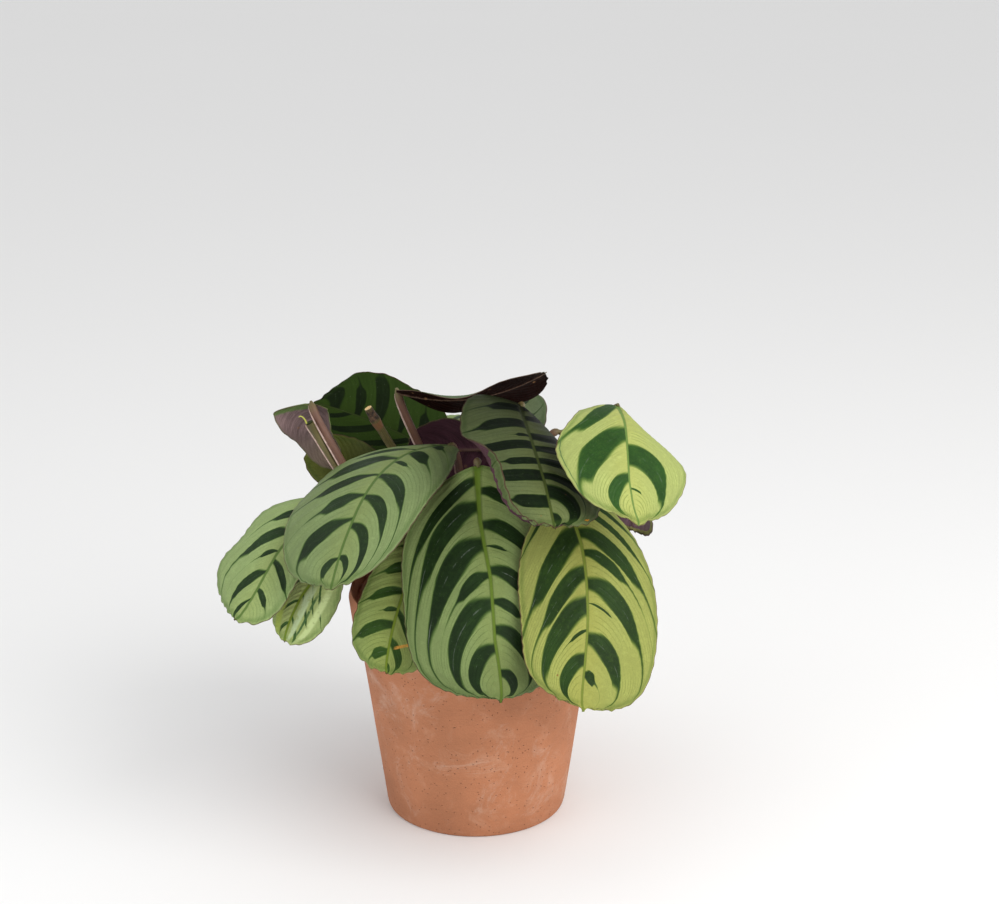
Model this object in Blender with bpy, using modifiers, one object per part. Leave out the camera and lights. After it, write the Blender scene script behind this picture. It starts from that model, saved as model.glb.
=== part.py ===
"""Potted ctenanthe: drooping, boldly striped leaf blades on bundled stalks in a plain round pot.

Run with: blender --background --python part.py
The model is in metres. The plant's sizes and places are written in millimetres and angles in
degrees, and MM turns them into metres. The origin is the middle of the pot's underside, +Z is
up and the plant's front faces -Y.
"""

import math
from dataclasses import dataclass

import bmesh
import bpy
import numpy as np

MM = 0.001
CLEARANCE = 0.3

POT_HEIGHT = 118.0
POT_RIM_RADIUS = 65.0
POT_BASE_RADIUS = 46.0
POT_WALL = 4.0
POT_FLOOR = 6.0
POT_STEPS = 40
RIM_BAND_HEIGHT = 20.0
RIM_BAND_STEP = 2.5
RIM_ROUNDING = 1.2
DRAIN_HOLES = 4
DRAIN_HOLE_RADIUS = 4.5
DRAIN_HOLE_RING = 26.0

SOIL_LEVEL = 106.0
SOIL_MOUND = 2.0

STUMP_RADIUS = 4.5
STUMP_FOOT = 80.0
STUMP_TOP = 113.0
STUMP_SIDES = 10
STALK_START = 109.0
STALK_SPREAD = 1.8
STALK_RADIUS = 2.2
STALK_TIP_RADIUS = 1.7
STALK_POINTS = 9

BARE_STEM_RISE = 0.3

BLADE_THICKNESS = 0.7
BLADE_ROWS = 10
BLADE_COLUMNS = 6
BLADE_WAVES = 1.6
RIGHT_WAVE_SHIFT = 0.37
BASE_SWELL = 2.4
BASE_FULLNESS = 0.52
TIP_FULLNESS = 0.42
TIP_HALF_WIDTH = 0.02
TIP_POINT_WIDTH = 0.12
EVEN_ROW_SHARE = 0.3


@dataclass
class Leaf:
    """One blade and its stalk. Pairs are the left and the right half, seen from above the blade."""

    name: str
    shoot: str
    base: tuple
    tip: tuple
    faces: tuple
    width: float
    arch: float = 6.0
    bend: float = 0.0
    droop: tuple = (25.0, 25.0)
    fold: tuple = (0.0, 0.0)
    share: tuple = (1.0, 1.0)
    twist: float = 0.0
    widest: float = 0.5
    blunt: float = 4.5
    point: float = 0.015
    wave: float = 2.0
    phase: float = 0.0
    handle: float = 14.0
    rise: float = 0.45
    arrives: tuple = ()
    gap: float = CLEARANCE


@dataclass
class BareStem:
    """A stem without a blade, from its shoot to its free end."""

    name: str
    shoot: str
    end: tuple
    heading: tuple
    handle: float
    radius: float


SHOOTS = {
    "front": (5.0, -32.0),
    "front_left": (-15.0, -34.0),
    "left": (-31.0, -22.0),
    "middle": (-4.0, -5.0),
    "front_right": (24.0, -24.0),
    "right": (39.0, -4.0),
    "back_left": (-27.0, 12.0),
    "back": (6.0, 24.0),
    "back_right": (31.0, 24.0),
}

LEAVES = (
    Leaf("leaf_front_middle", "front", base=(2, -45, 198), tip=(13, -107, 102),
         faces=(0.0, -0.85, 0.5), width=83, arch=7, bend=1.5, droop=(25, 50), share=(1.07, 0.88)),
    Leaf("leaf_front_right", "front_right", base=(42, -57, 187), tip=(51, -119, 103),
         faces=(0.18, -0.85, 0.5), width=72, arch=7, bend=8, droop=(25, 40), share=(0.95, 1.0)),
    Leaf("leaf_front_left", "front_left", base=(-17, -50, 168), tip=(-42, -80, 104),
         faces=(-0.1, -0.9, 0.4), width=46, arch=4, bend=-3, droop=(30, 30), widest=0.62, blunt=3.2),
    Leaf("leaf_left_arching", "middle", base=(-12, -17, 199), tip=(-65, -112, 160),
         faces=(-0.3, -0.3, 0.9), width=68, arch=20, bend=-4, droop=(25, 35), share=(1.18, 1.0),
         handle=10),
    Leaf("leaf_left_far", "left", base=(-72, -42, 181), tip=(-114, -78, 131),
         faces=(-0.4, -0.6, 0.7), width=52, arch=6, bend=2, droop=(30, 40), share=(1.35, 0.7),
         blunt=3.5),
    Leaf("leaf_left_curled", "left", base=(-68, -45, 150), tip=(-92, -62, 113),
         faces=(0.2, -0.9, 0.3), width=40, arch=2, droop=(60, 30), fold=(20, 0), share=(1.0, 0.7),
         blunt=3.2),
    Leaf("leaf_centre_shaded", "front_right", base=(23, -32, 224), tip=(37, -120, 193),
         faces=(0.35, -0.5, 0.75), width=64, arch=8, bend=-3, droop=(20, 35), share=(1.1, 1.0),
         twist=27, widest=0.38, gap=0.6),
    Leaf("leaf_right_pale", "front_right", base=(66, -52, 230), tip=(75, -118, 193),
         faces=(0.3, -0.6, 0.75), width=64, arch=12, droop=(20, 45), point=0.1),
    Leaf("leaf_back_upright", "back_left", base=(-15, 14, 182), tip=(-83, 42, 203),
         faces=(0.1, -0.8, 0.6), width=50, arch=3, bend=-2, droop=(20, 20), share=(1.13, 0.95),
         blunt=1.9, handle=9, gap=0.6),
    Leaf("leaf_left_purple", "left", base=(-80, -12, 219), tip=(-66, 2, 181),
         faces=(0.1, 0.9, 0.3), width=40, arch=3, bend=3, droop=(30, 25), share=(0.4, 1.0),
         widest=0.08, blunt=1.0, arrives=(-0.15, 0.85, 0.5), rise=0.3, gap=1.9),
    Leaf("leaf_left_olive", "back_left", base=(-44, 7, 170), tip=(-85, 8, 189),
         faces=(0.0, -1.0, 0.15), width=30, arch=1, droop=(20, 20), blunt=2.5, handle=9),
    Leaf("leaf_crown", "middle", base=(-38, -10, 225), tip=(35, -22, 238),
         faces=(0.0, 0.45, 0.9), width=44, arch=-8, droop=(10, 10), share=(0.9, 1.1),
         arrives=(-0.2, 0.0, 0.97), handle=20, gap=2.2),
    Leaf("leaf_behind_crown", "back", base=(12, 4, 190), tip=(-34, 6, 187),
         faces=(0.1, 0.9, 0.3), width=42, arch=2, droop=(20, 20), handle=14, gap=0.9),
    Leaf("leaf_right_side", "right", base=(48, -6, 180), tip=(78, 6, 118),
         faces=(0.9, -0.2, 0.5), width=54, arch=5),
    Leaf("leaf_right_back", "back_right", base=(42, 24, 182), tip=(84, 52, 136),
         faces=(0.6, 0.5, 0.6), width=56, arch=9),
    Leaf("leaf_back_middle", "back", base=(5, 40, 187), tip=(9, 100, 113),
         faces=(0.0, 0.85, 0.5), width=68, arch=9),
    Leaf("leaf_back_left_low", "back_left", base=(-40, 42, 174), tip=(-70, 88, 106),
         faces=(-0.45, 0.8, 0.5), width=54, arch=7),
    Leaf("leaf_back_right_low", "back_right", base=(38, 48, 164), tip=(64, 88, 103),
         faces=(0.4, 0.8, 0.4), width=54, arch=6),
    Leaf("leaf_left_side", "back_left", base=(-56, 10, 156), tip=(-96, 14, 100),
         faces=(-0.9, 0.1, 0.5), width=50, arch=5),
    Leaf("leaf_left_back", "back_left", base=(-48, 29, 183), tip=(-91, 44, 140),
         faces=(-0.8, 0.25, 0.6), width=46, arch=7),
    Leaf("leaf_back_top", "back", base=(14, 18, 178), tip=(20, 44, 213),
         faces=(0.1, -0.75, 0.65), width=38, arch=5, droop=(20, 20), handle=9),
    Leaf("leaf_right_top", "right", base=(42, 2, 200), tip=(90, 10, 160),
         faces=(0.6, 0.1, 0.8), width=46, arch=9),
    Leaf("leaf_back_left_top", "back", base=(-10, 32, 196), tip=(-42, 82, 162),
         faces=(-0.3, 0.4, 0.9), width=48, arch=9),
    Leaf("leaf_right_front_low", "front_right", base=(58, -32, 153), tip=(73, -60, 104),
         faces=(0.7, -0.5, 0.5), width=46, arch=6),
)

BARE_STEMS = (
    BareStem("cut_stub", "middle", end=(-52, -14, 217), heading=(-0.44, -0.15, 0.88), handle=40,
             radius=2.1),
    BareStem("old_sheath", "left", end=(-80.5, -19, 211), heading=(-0.42, -0.08, 0.9), handle=30,
             radius=1.5),
)


def unit(vectors):
    """Vectors of length one, along the last axis."""
    vectors = np.asarray(vectors, float)
    return vectors / np.linalg.norm(vectors, axis=-1, keepdims=True)


def half_width(leaf, t):
    """Share of the full half width at t, from 0 at the blade's base to 1 at its tip."""
    along = np.clip(t / (1.0 - leaf.point), 0.0, 1.0)
    to_base = np.clip(1.0 - along / leaf.widest, 0.0, 1.0)
    to_tip = np.clip((along - leaf.widest) / (1.0 - leaf.widest), 0.0, 1.0)
    rounded_base = (1.0 - to_base ** BASE_SWELL) ** BASE_FULLNESS
    blunt_tip = (1.0 - to_tip ** leaf.blunt) ** TIP_FULLNESS
    body = np.where(along < leaf.widest, rounded_base, blunt_tip)
    short_point = TIP_POINT_WIDTH * (1.0 - t) / (2.0 * leaf.point)
    short_point = np.where(t > 1.0 - 2.0 * leaf.point, short_point, 0.0)
    return np.maximum(np.maximum(body, short_point), TIP_HALF_WIDTH)


def midrib(leaf, t):
    """Points and directions of the arched midrib at the values t."""
    base = np.array(leaf.base, float)
    tip = np.array(leaf.tip, float)
    chord = tip - base
    along = unit(chord)
    outward = np.array(leaf.faces, float)
    outward = unit(outward - (outward @ along) * along)
    sideways = np.cross(outward, along)
    control = (base + tip) / 2 + 2 * leaf.arch * outward + 2 * leaf.bend * sideways
    t = np.asarray(t, float)[:, None]
    points = (1 - t) ** 2 * base + 2 * t * (1 - t) * control + t ** 2 * tip
    directions = 2 * (1 - t) * (control - base) + 2 * t * (tip - control)
    return points, unit(directions)


def arc(degrees_bent, degrees_folded, a):
    """Sideways and downward reach at the share a of a half blade that is folded and droops."""
    bent = math.radians(degrees_bent)
    folded = math.radians(degrees_folded)
    sideways = (math.sin(folded + bent * a) - math.sin(folded)) / bent
    down = (math.cos(folded) - math.cos(folded + bent * a)) / bent
    return sideways, down


def blade_surface(leaf, t, u):
    """Blade points for the pairs of t (base 0 to tip 1) and u (left margin -1 to right 1)."""
    points, along = midrib(leaf, t)
    outward = np.array(leaf.faces, float)
    outward = unit(outward - (along @ outward)[:, None] * along)
    right = np.cross(outward, along)
    turned = np.radians(leaf.twist) * (t - 0.5)
    cosine, sine = np.cos(turned)[:, None], np.sin(turned)[:, None]
    outward, right = outward * cosine - right * sine, right * cosine + outward * sine
    result = np.empty((len(t), 3))
    reach = half_width(leaf, t) * leaf.width / 2
    for i, side_value in enumerate(u):
        side = 0 if side_value < 0 else 1
        a = abs(side_value)
        sideways, down = arc(leaf.droop[side], leaf.fold[side], a)
        half = reach[i] * leaf.share[side]
        wave = math.sin(2 * math.pi * (BLADE_WAVES * t[i] + leaf.phase + RIGHT_WAVE_SHIFT * side))
        wave *= leaf.wave * a ** 2 * math.sin(math.pi * t[i]) ** 0.5 if 0 < t[i] < 1 else 0.0
        step = math.copysign(half * sideways, side_value) * right[i]
        result[i] = points[i] + step + (wave - half * down) * outward[i]
    return result


def bezier(p0, p1, p2, p3, count):
    """Points along a cubic curve."""
    t = np.linspace(0.0, 1.0, count)[:, None]
    return (1 - t) ** 3 * p0 + 3 * t * (1 - t) ** 2 * p1 + 3 * t ** 2 * (1 - t) * p2 + t ** 3 * p3


def stem_path(shoot, end, heading, handle, rise, count=STALK_POINTS):
    """Centre line from a shoot's stump to a free end, arriving there along the heading."""
    centre = np.array(SHOOTS[shoot], float)
    towards = unit(np.array(end[:2], float) - centre)
    start = np.append(centre + STALK_SPREAD * towards, STALK_START)
    end = np.array(end, float)
    upward = start + np.array([0.0, 0.0, rise * (end[2] - start[2])])
    return bezier(start, upward, end - unit(heading) * handle, end, count)


def stalk_path(leaf):
    """Centre line of a leaf's stalk, which stops just short of the blade's base."""
    _, directions = midrib(leaf, np.array([0.0]))
    heading = unit(leaf.arrives) if leaf.arrives else directions[0]
    end = np.array(leaf.base, float) - leaf.gap * heading
    return stem_path(leaf.shoot, end, heading, leaf.handle, leaf.rise)


# Materials, meshes and objects


def material(name, colour, roughness):
    """A plain Principled material."""
    result = bpy.data.materials.new(name)
    result.use_nodes = True
    shader = result.node_tree.nodes["Principled BSDF"]
    shader.inputs["Base Color"].default_value = (*colour, 1.0)
    shader.inputs["Roughness"].default_value = roughness
    shader.inputs["Metallic"].default_value = 0.0
    return result


def add_object(name, data, collection, surface=None):
    """Puts mesh or curve data into a collection as a named object."""
    result = bpy.data.objects.new(name, data)
    collection.objects.link(result)
    if surface:
        data.materials.append(surface)
    return result


def turned_object(name, profile, steps, collection, surface):
    """A solid of revolution from a profile of (radius, height) pairs, read top to bottom."""
    mesh = bpy.data.meshes.new(name)
    corners = [(radius * MM, 0.0, height * MM) for radius, height in profile]
    mesh.from_pydata(corners, [(i, i + 1) for i in range(len(corners) - 1)], [])
    result = add_object(name, mesh, collection, surface)
    screw = result.modifiers.new("Turn", "SCREW")
    screw.axis = "Z"
    screw.steps = steps
    screw.render_steps = steps
    screw.use_merge_vertices = True
    screw.merge_threshold = 0.0001
    screw.use_smooth_shade = False
    return result


def cylinder_cutter(name, x, y, bottom, top, radius, sides, collection):
    """An upright cylinder that cuts a round hole."""
    bpy.ops.mesh.primitive_cylinder_add(
        vertices=sides, radius=radius * MM, depth=(top - bottom) * MM,
        location=(x * MM, y * MM, (top + bottom) / 2 * MM))
    cutter = bpy.context.active_object
    cutter.name = name
    for holder in list(cutter.users_collection):
        holder.objects.unlink(cutter)
    collection.objects.link(cutter)
    cutter.hide_render = True
    cutter.display_type = "WIRE"
    return cutter


def cut(target, cutter):
    """Takes the cutter's shape out of the target."""
    modifier = target.modifiers.new(f"Cut {cutter.name}", "BOOLEAN")
    modifier.operation = "DIFFERENCE"
    modifier.object = cutter


def shade(target):
    """Smooth shading that keeps the sharp corners."""
    target.data.shade_smooth()
    target.data.set_sharp_from_angle(angle=math.radians(40))


def pot_outer(height):
    """Outer radius of the pot's tapered body at a height."""
    top = POT_RIM_RADIUS - RIM_BAND_STEP
    return POT_BASE_RADIUS + (top - POT_BASE_RADIUS) * height / POT_HEIGHT


def pot_inner(height):
    """Inner radius of the pot at a height."""
    return pot_outer(height) - POT_WALL


def build_pot(parts, cutters):
    """A plain tapered pot with a rim band and drain holes set round the middle of its floor."""
    band_foot = POT_HEIGHT - RIM_BAND_HEIGHT
    profile = [
        (0.0, POT_FLOOR),
        (pot_inner(POT_FLOOR), POT_FLOOR),
        (pot_inner(POT_HEIGHT), POT_HEIGHT - RIM_ROUNDING),
        (pot_inner(POT_HEIGHT) + RIM_ROUNDING, POT_HEIGHT),
        (POT_RIM_RADIUS - RIM_ROUNDING, POT_HEIGHT),
        (POT_RIM_RADIUS, POT_HEIGHT - RIM_ROUNDING),
        (pot_outer(band_foot) + RIM_BAND_STEP, band_foot + RIM_ROUNDING),
        (pot_outer(band_foot), band_foot),
        (POT_BASE_RADIUS, RIM_ROUNDING),
        (POT_BASE_RADIUS - RIM_ROUNDING, 0.0),
        (0.0, 0.0),
    ]
    pot = turned_object("pot", profile, POT_STEPS, parts, material("pot", (0.55, 0.25, 0.15), 0.8))
    for i in range(DRAIN_HOLES):
        angle = 2 * math.pi * (i + 0.5) / DRAIN_HOLES
        x, y = DRAIN_HOLE_RING * math.cos(angle), DRAIN_HOLE_RING * math.sin(angle)
        cut(pot, cylinder_cutter(f"drain_hole_{i + 1}", x, y, -5.0, POT_FLOOR + 5.0,
                                 DRAIN_HOLE_RADIUS, 16, cutters))
    shade(pot)


def build_soil(parts, cutters):
    """The soil that fills the pot, with a plain hole for each shoot's stump."""
    foot = POT_FLOOR + CLEARANCE
    profile = [
        (0.0, SOIL_LEVEL + SOIL_MOUND),
        (pot_inner(SOIL_LEVEL) * 0.6, SOIL_LEVEL + SOIL_MOUND * 0.6),
        (pot_inner(SOIL_LEVEL) - CLEARANCE, SOIL_LEVEL),
        (pot_inner(foot) - CLEARANCE, foot),
        (0.0, foot),
    ]
    soil = turned_object("soil", profile, POT_STEPS, parts, material("soil", (0.05, 0.035, 0.025), 0.9))
    for name, (x, y) in SHOOTS.items():
        cut(soil, cylinder_cutter(f"stump_hole_{name}", x, y, STUMP_FOOT - CLEARANCE, POT_HEIGHT,
                                  STUMP_RADIUS + CLEARANCE, STUMP_SIDES, cutters))


def tube_mesh_object(name, points, radius_foot, radius_end, collection):
    """A thin round stem along the points, as a closed mesh."""
    curve = bpy.data.curves.new(name, "CURVE")
    curve.dimensions = "3D"
    curve.bevel_depth = 1.0 * MM
    curve.bevel_resolution = 1
    curve.use_fill_caps = True
    spline = curve.splines.new("POLY")
    spline.points.add(len(points) - 1)
    for i, (spot, point) in enumerate(zip(spline.points, points)):
        spot.co = (*(point * MM), 1.0)
        spot.radius = radius_foot + (radius_end - radius_foot) * i / (len(points) - 1)
    path = add_object(name + "_path", curve, collection)
    bpy.context.view_layer.update()
    evaluated = path.evaluated_get(bpy.context.evaluated_depsgraph_get())
    mesh = bpy.data.meshes.new_from_object(evaluated)
    matrix = path.matrix_world.copy()
    bpy.data.objects.remove(path)
    shape = bmesh.new()
    shape.from_mesh(mesh)
    bmesh.ops.remove_doubles(shape, verts=shape.verts, dist=0.00001)
    shape.to_mesh(mesh)
    shape.free()
    result = add_object(name, mesh, collection)
    result.matrix_world = matrix
    return result


def build_shoot(shoot, parts, surface):
    """A shoot's stump with its stalks and bare stems, joined into one body."""
    x, y = SHOOTS[shoot]
    bpy.ops.mesh.primitive_cylinder_add(
        vertices=STUMP_SIDES, radius=STUMP_RADIUS * MM, depth=(STUMP_TOP - STUMP_FOOT) * MM,
        location=(x * MM, y * MM, (STUMP_TOP + STUMP_FOOT) / 2 * MM))
    body = bpy.context.active_object
    body.name = "shoot_" + shoot
    for holder in list(body.users_collection):
        holder.objects.unlink(body)
    parts.objects.link(body)
    body.data.materials.append(surface)

    stalks = bpy.data.collections.new("stalks_" + shoot)
    bpy.context.scene.collection.children.link(stalks)
    for leaf in LEAVES:
        if leaf.shoot == shoot:
            tube_mesh_object("stalk_of_" + leaf.name, stalk_path(leaf), STALK_RADIUS,
                             STALK_TIP_RADIUS, stalks)
    for stem in BARE_STEMS:
        if stem.shoot == shoot:
            points = stem_path(shoot, stem.end, stem.heading, stem.handle, BARE_STEM_RISE)
            tube_mesh_object(stem.name, points, STALK_RADIUS, stem.radius, stalks)

    union = body.modifiers.new("Join stalks", "BOOLEAN")
    union.operation = "UNION"
    union.operand_type = "COLLECTION"
    union.collection = stalks
    bpy.context.view_layer.update()
    bpy.context.view_layer.objects.active = body
    bpy.ops.object.modifier_apply(modifier=union.name)
    for stalk in list(stalks.objects):
        bpy.data.objects.remove(stalk)
    bpy.data.collections.remove(stalks)
    shade(body)


def build_blade(leaf, parts, surface):
    """A thin waved blade: a flat grid that follows the leaf's formula, given its thickness."""
    shape = bmesh.new()
    bmesh.ops.create_grid(shape, x_segments=BLADE_COLUMNS, y_segments=BLADE_ROWS, size=1.0)
    bmesh.ops.triangulate(shape, faces=shape.faces[:])
    u = np.array([corner.co.x for corner in shape.verts])
    even = np.array([corner.co.y for corner in shape.verts]) / 2 + 0.5
    closer_at_ends = (1.0 - np.cos(math.pi * even)) / 2
    t = EVEN_ROW_SHARE * even + (1.0 - EVEN_ROW_SHARE) * closer_at_ends
    for corner, place in zip(shape.verts, blade_surface(leaf, t, u)):
        corner.co = place * MM
    mesh = bpy.data.meshes.new(leaf.name)
    shape.to_mesh(mesh)
    shape.free()
    blade = add_object(leaf.name, mesh, parts, surface)
    solidify = blade.modifiers.new("Thickness", "SOLIDIFY")
    solidify.thickness = BLADE_THICKNESS * MM
    solidify.offset = 0.0
    shade(blade)


def main():
    """Clears the scene and builds the pot, the soil, the shoots and the leaf blades."""
    for old in list(bpy.data.objects):
        bpy.data.objects.remove(old)
    parts = bpy.data.collections.new("potted_ctenanthe")
    cutters = bpy.data.collections.new("cutters")
    bpy.context.scene.collection.children.link(parts)
    bpy.context.scene.collection.children.link(cutters)
    build_pot(parts, cutters)
    build_soil(parts, cutters)
    stem_surface = material("stems", (0.25, 0.12, 0.07), 0.55)
    for shoot in SHOOTS:
        build_shoot(shoot, parts, stem_surface)
    leaf_surface = material("leaves", (0.16, 0.3, 0.09), 0.5)
    for leaf in LEAVES:
        build_blade(leaf, parts, leaf_surface)


main()
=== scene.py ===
"""Potted ctenanthe: the finished look of the plant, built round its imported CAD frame.

The layout is that of a Blender add-on, and the file runs as a script. Lengths are in millimetres
in the tables and in metres in the scene. The origin is the middle of the pot's underside, +Z is up
and the plant's front faces -Y.
"""

import math
import random
from dataclasses import dataclass

import bmesh
import bpy
import numpy as np
from mathutils import Matrix, Vector, noise


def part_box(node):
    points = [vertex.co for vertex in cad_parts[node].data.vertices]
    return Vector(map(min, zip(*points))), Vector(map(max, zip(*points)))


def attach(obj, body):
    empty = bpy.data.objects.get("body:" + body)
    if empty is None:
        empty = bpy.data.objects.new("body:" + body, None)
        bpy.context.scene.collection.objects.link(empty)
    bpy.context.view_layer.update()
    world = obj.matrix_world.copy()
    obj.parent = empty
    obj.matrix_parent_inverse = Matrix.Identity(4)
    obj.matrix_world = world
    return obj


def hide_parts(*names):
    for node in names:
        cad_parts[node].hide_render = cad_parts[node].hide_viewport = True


bl_info = {
    "name": "Potted ctenanthe",
    "version": (1, 0, 0),
    "blender": (4, 5, 0),
    "location": "3D View > Sidebar > Ctenanthe",
    "description": "Builds a striped house plant in a terracotta pot",
    "category": "Object",
}

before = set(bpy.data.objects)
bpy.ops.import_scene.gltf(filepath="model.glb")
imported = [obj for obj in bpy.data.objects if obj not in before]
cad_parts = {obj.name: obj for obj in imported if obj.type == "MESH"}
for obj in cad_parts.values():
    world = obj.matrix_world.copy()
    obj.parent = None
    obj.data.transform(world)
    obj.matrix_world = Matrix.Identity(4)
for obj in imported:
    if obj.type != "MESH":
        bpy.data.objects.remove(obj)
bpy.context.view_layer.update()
MM = 0.001
TURN = 2 * math.pi

# The leaf's shape, as the CAD source has it

BLADE_WAVES = 1.6
RIGHT_WAVE_SHIFT = 0.37
BASE_SWELL = 2.4
BASE_FULLNESS = 0.52
TIP_FULLNESS = 0.42
TIP_HALF_WIDTH = 0.02
TIP_POINT_WIDTH = 0.12
TIP_POINT = 0.015
WAVE_HEIGHT = 2.0
EVEN_ROW_SHARE = 0.3

# Finer detail of the blade

BLADE_ROWS = 112
HALF_COLUMNS = 28
CREASE_DEPTH = 0.5
CREASE_WIDTH = 1.6
RIB_HEIGHT = 0.9
QUILT_HEIGHT = 0.22
QUILTS = 15.0
TOOTH_SPACING, TOOTH_BEAT = 6.2, 17.0
SCALLOP_SPACING, SCALLOP_BEAT = 5.4, 9.1
TOOTH_HEIGHT = 0.228
SCALLOP_HEIGHT = 0.45
RIB_WIDTH = 1.1
RIM_THINNESS = 0.55

# The pot

POT_STEPS = 160
POT_SHARP_ANGLE = 38.0
RIM_ROUNDING = 1.6
FOOT_ROUNDING = 1.4
RIM_BAND_STEP = 2.5
DRAIN_HOLES = 4
DRAIN_HOLE_RADIUS = 4.5
DRAIN_HOLE_RING = 26.0

# What the camera looks at, in metres, and its lens

VIEW_TARGET = (0.01225, 0.0, 0.190)
LENS, SENSOR_WIDTH = 83.0, 36.0

# The middle of each shoot at the soil: (x, y)

SHOOTS = {
    "front": (5.0, -32.0),
    "front_left": (-15.0, -34.0),
    "left": (-31.0, -22.0),
    "middle": (-4.0, -5.0),
    "front_right": (24.0, -24.0),
    "right": (39.0, -4.0),
    "back_left": (-27.0, 12.0),
    "back": (6.0, 24.0),
    "back_right": (31.0, 24.0),
}


@dataclass
class Leaf:
    """One blade and its stalk. Pairs are the left and the right half, seen from above the blade.

    base and tip are the ends of the midrib, which rises by arch between them, and faces is the way
    that the upper side looks.
    """

    name: str
    shoot: str
    base: tuple
    tip: tuple
    faces: tuple
    width: float
    arch: float
    bend: float = 0.0
    droop: tuple = (25, 25)
    fold: tuple = (0, 0)
    share: tuple = (1, 1)
    twist: float = 0.0
    widest: float = 0.5
    blunt: float = 4.5
    handle: float = 14.0
    rise: float = 0.45
    arrives: tuple = ()


LEAVES = (
    Leaf("front_middle", "front", (2, -45, 198), (13, -107, 102), (0, -0.85, 0.5), 83, 7,
         bend=1.5, droop=(25, 50), share=(1.07, 0.88)),
    Leaf("front_right", "front_right", (42, -57, 187), (51, -119, 103), (0.18, -0.85, 0.5), 72, 7,
         bend=8, droop=(25, 40), share=(0.95, 1)),
    Leaf("front_left", "front_left", (-17, -50, 168), (-42, -80, 104), (-0.1, -0.9, 0.4), 46, 4,
         bend=-3, droop=(30, 30), widest=0.62, blunt=3.2),
    Leaf("left_arching", "middle", (-12, -17, 199), (-65, -112, 160), (-0.3, -0.3, 0.9), 68, 20,
         bend=-4, droop=(25, 35), share=(1.18, 1), handle=10),
    Leaf("left_far", "left", (-72, -42, 181), (-114, -78, 131), (-0.4, -0.6, 0.7), 52, 6,
         bend=2, droop=(30, 40), share=(1.35, 0.7), blunt=3.5),
    Leaf("left_curled", "left", (-68, -45, 150), (-92, -62, 113), (0.2, -0.9, 0.3), 40, 2,
         droop=(60, 30), fold=(20, 0), share=(1, 0.7), blunt=3.2),
    Leaf("centre_shaded", "front_right", (23, -32, 224), (37, -120, 193), (0.35, -0.5, 0.75), 64, 8,
         bend=-3, droop=(20, 35), share=(1.1, 1), twist=27, widest=0.38),
    Leaf("right_pale", "front_right", (68, -52, 230), (75, -118, 193), (0.3, -0.6, 0.75), 64, 12,
         droop=(20, 45), arrives=(0.1, -0.7, 0.65)),
    Leaf("back_upright", "back_left", (-15, 14, 182), (-83, 42, 203), (0.1, -0.8, 0.6), 50, 3,
         bend=-2, droop=(20, 20), share=(1.13, 0.95), handle=9),
    Leaf("left_purple", "left", (-80, -12, 219), (-66, 2, 181), (0.1, 0.9, 0.3), 40, 3, bend=3,
         droop=(30, 25), share=(0.4, 1), widest=0.08, blunt=1, rise=0.3,
         arrives=(-0.15, 0.85, 0.5)),
    Leaf("left_olive", "back_left", (-44, 7, 170), (-85, 8, 189), (0, -1, 0.15), 30, 1,
         droop=(20, 20), blunt=2.5, handle=9),
    Leaf("crown", "middle", (-38, -10, 225), (35, -22, 238), (0, 0.45, 0.9), 44, -8,
         droop=(10, 10), share=(0.9, 1.1), handle=20, arrives=(-0.2, 0, 0.97)),
    Leaf("behind_crown", "back", (12, 4, 190), (-34, 6, 187), (0.1, 0.9, 0.3), 42, 2,
         droop=(20, 20)),
    Leaf("right_side", "right", (48, -6, 180), (78, 6, 118), (0.9, -0.2, 0.5), 54, 5),
    Leaf("right_back", "back_right", (42, 24, 182), (84, 50, 129), (0.6, 0.5, 0.6), 56, 9),
    Leaf("back_middle", "back", (5, 40, 187), (9, 100, 113), (0, 0.85, 0.5), 68, 9),
    Leaf("back_left_low", "back_left", (-40, 42, 174), (-70, 88, 106), (-0.45, 0.8, 0.5), 54, 7),
    Leaf("back_right_low", "back_right", (38, 48, 164), (64, 88, 103), (0.4, 0.8, 0.4), 54, 6),
    Leaf("left_side", "back_left", (-56, 10, 156), (-96, 14, 100), (-0.9, 0.1, 0.5), 50, 5),
    Leaf("left_back", "back_left", (-48, 29, 183), (-91, 44, 140), (-0.8, 0.25, 0.6), 46, 7),
    Leaf("back_top", "back", (14, 18, 178), (20, 44, 213), (0.1, -0.75, 0.65), 38, 5,
         droop=(20, 20), handle=9),
    Leaf("right_top", "right", (42, 2, 200), (90, 10, 160), (0.6, 0.1, 0.8), 46, 9),
    Leaf("back_left_top", "back", (-10, 32, 196), (-42, 82, 162), (-0.3, 0.4, 0.9), 48, 9),
    Leaf("right_front_low", "front_right", (58, -32, 153), (73, -60, 104), (0.7, -0.5, 0.5), 46, 6),
)


@dataclass
class Half:
    """The stripes of one half of a blade.

    A stripe is (start along the midrib, half its greatest width, reach out from the midrib), all
    as shares of the blade. veins is (power, sweep at the base, growth of the sweep to the tip).
    head is a stripe's width at the midrib as a share of its greatest width.
    """

    veins: tuple
    head: float
    stripes: tuple


@dataclass
class Pattern:
    """The colours and stripes of one blade.

    lean moves the midrib sideways at even steps from base to tip, and shade is painted shade, the
    light that is left in the colour at the base and at the tip. A mark is (u and t at its start, at
    its end, width, colour).
    """

    left: Half
    right: Half
    ground: tuple = (0.30, 0.42, 0.16)
    stripe: tuple = (0.016, 0.048, 0.009)
    rib: tuple = (0.20, 0.29, 0.03)
    vein_strength: float = 0.25
    scratches: float = 0.5
    beneath: str = "purple"
    rib_width: float = 1.0
    shade: tuple = (1, 1)
    lean: tuple = (0, 0)
    shine: float = 0.14
    marks: tuple = ()


def striped(veins, head, *stripes):
    """A half blade with its stripes given in per cent."""
    return Half(veins, head, [tuple(value / 100 for value in stripe) for stripe in stripes])


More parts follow.
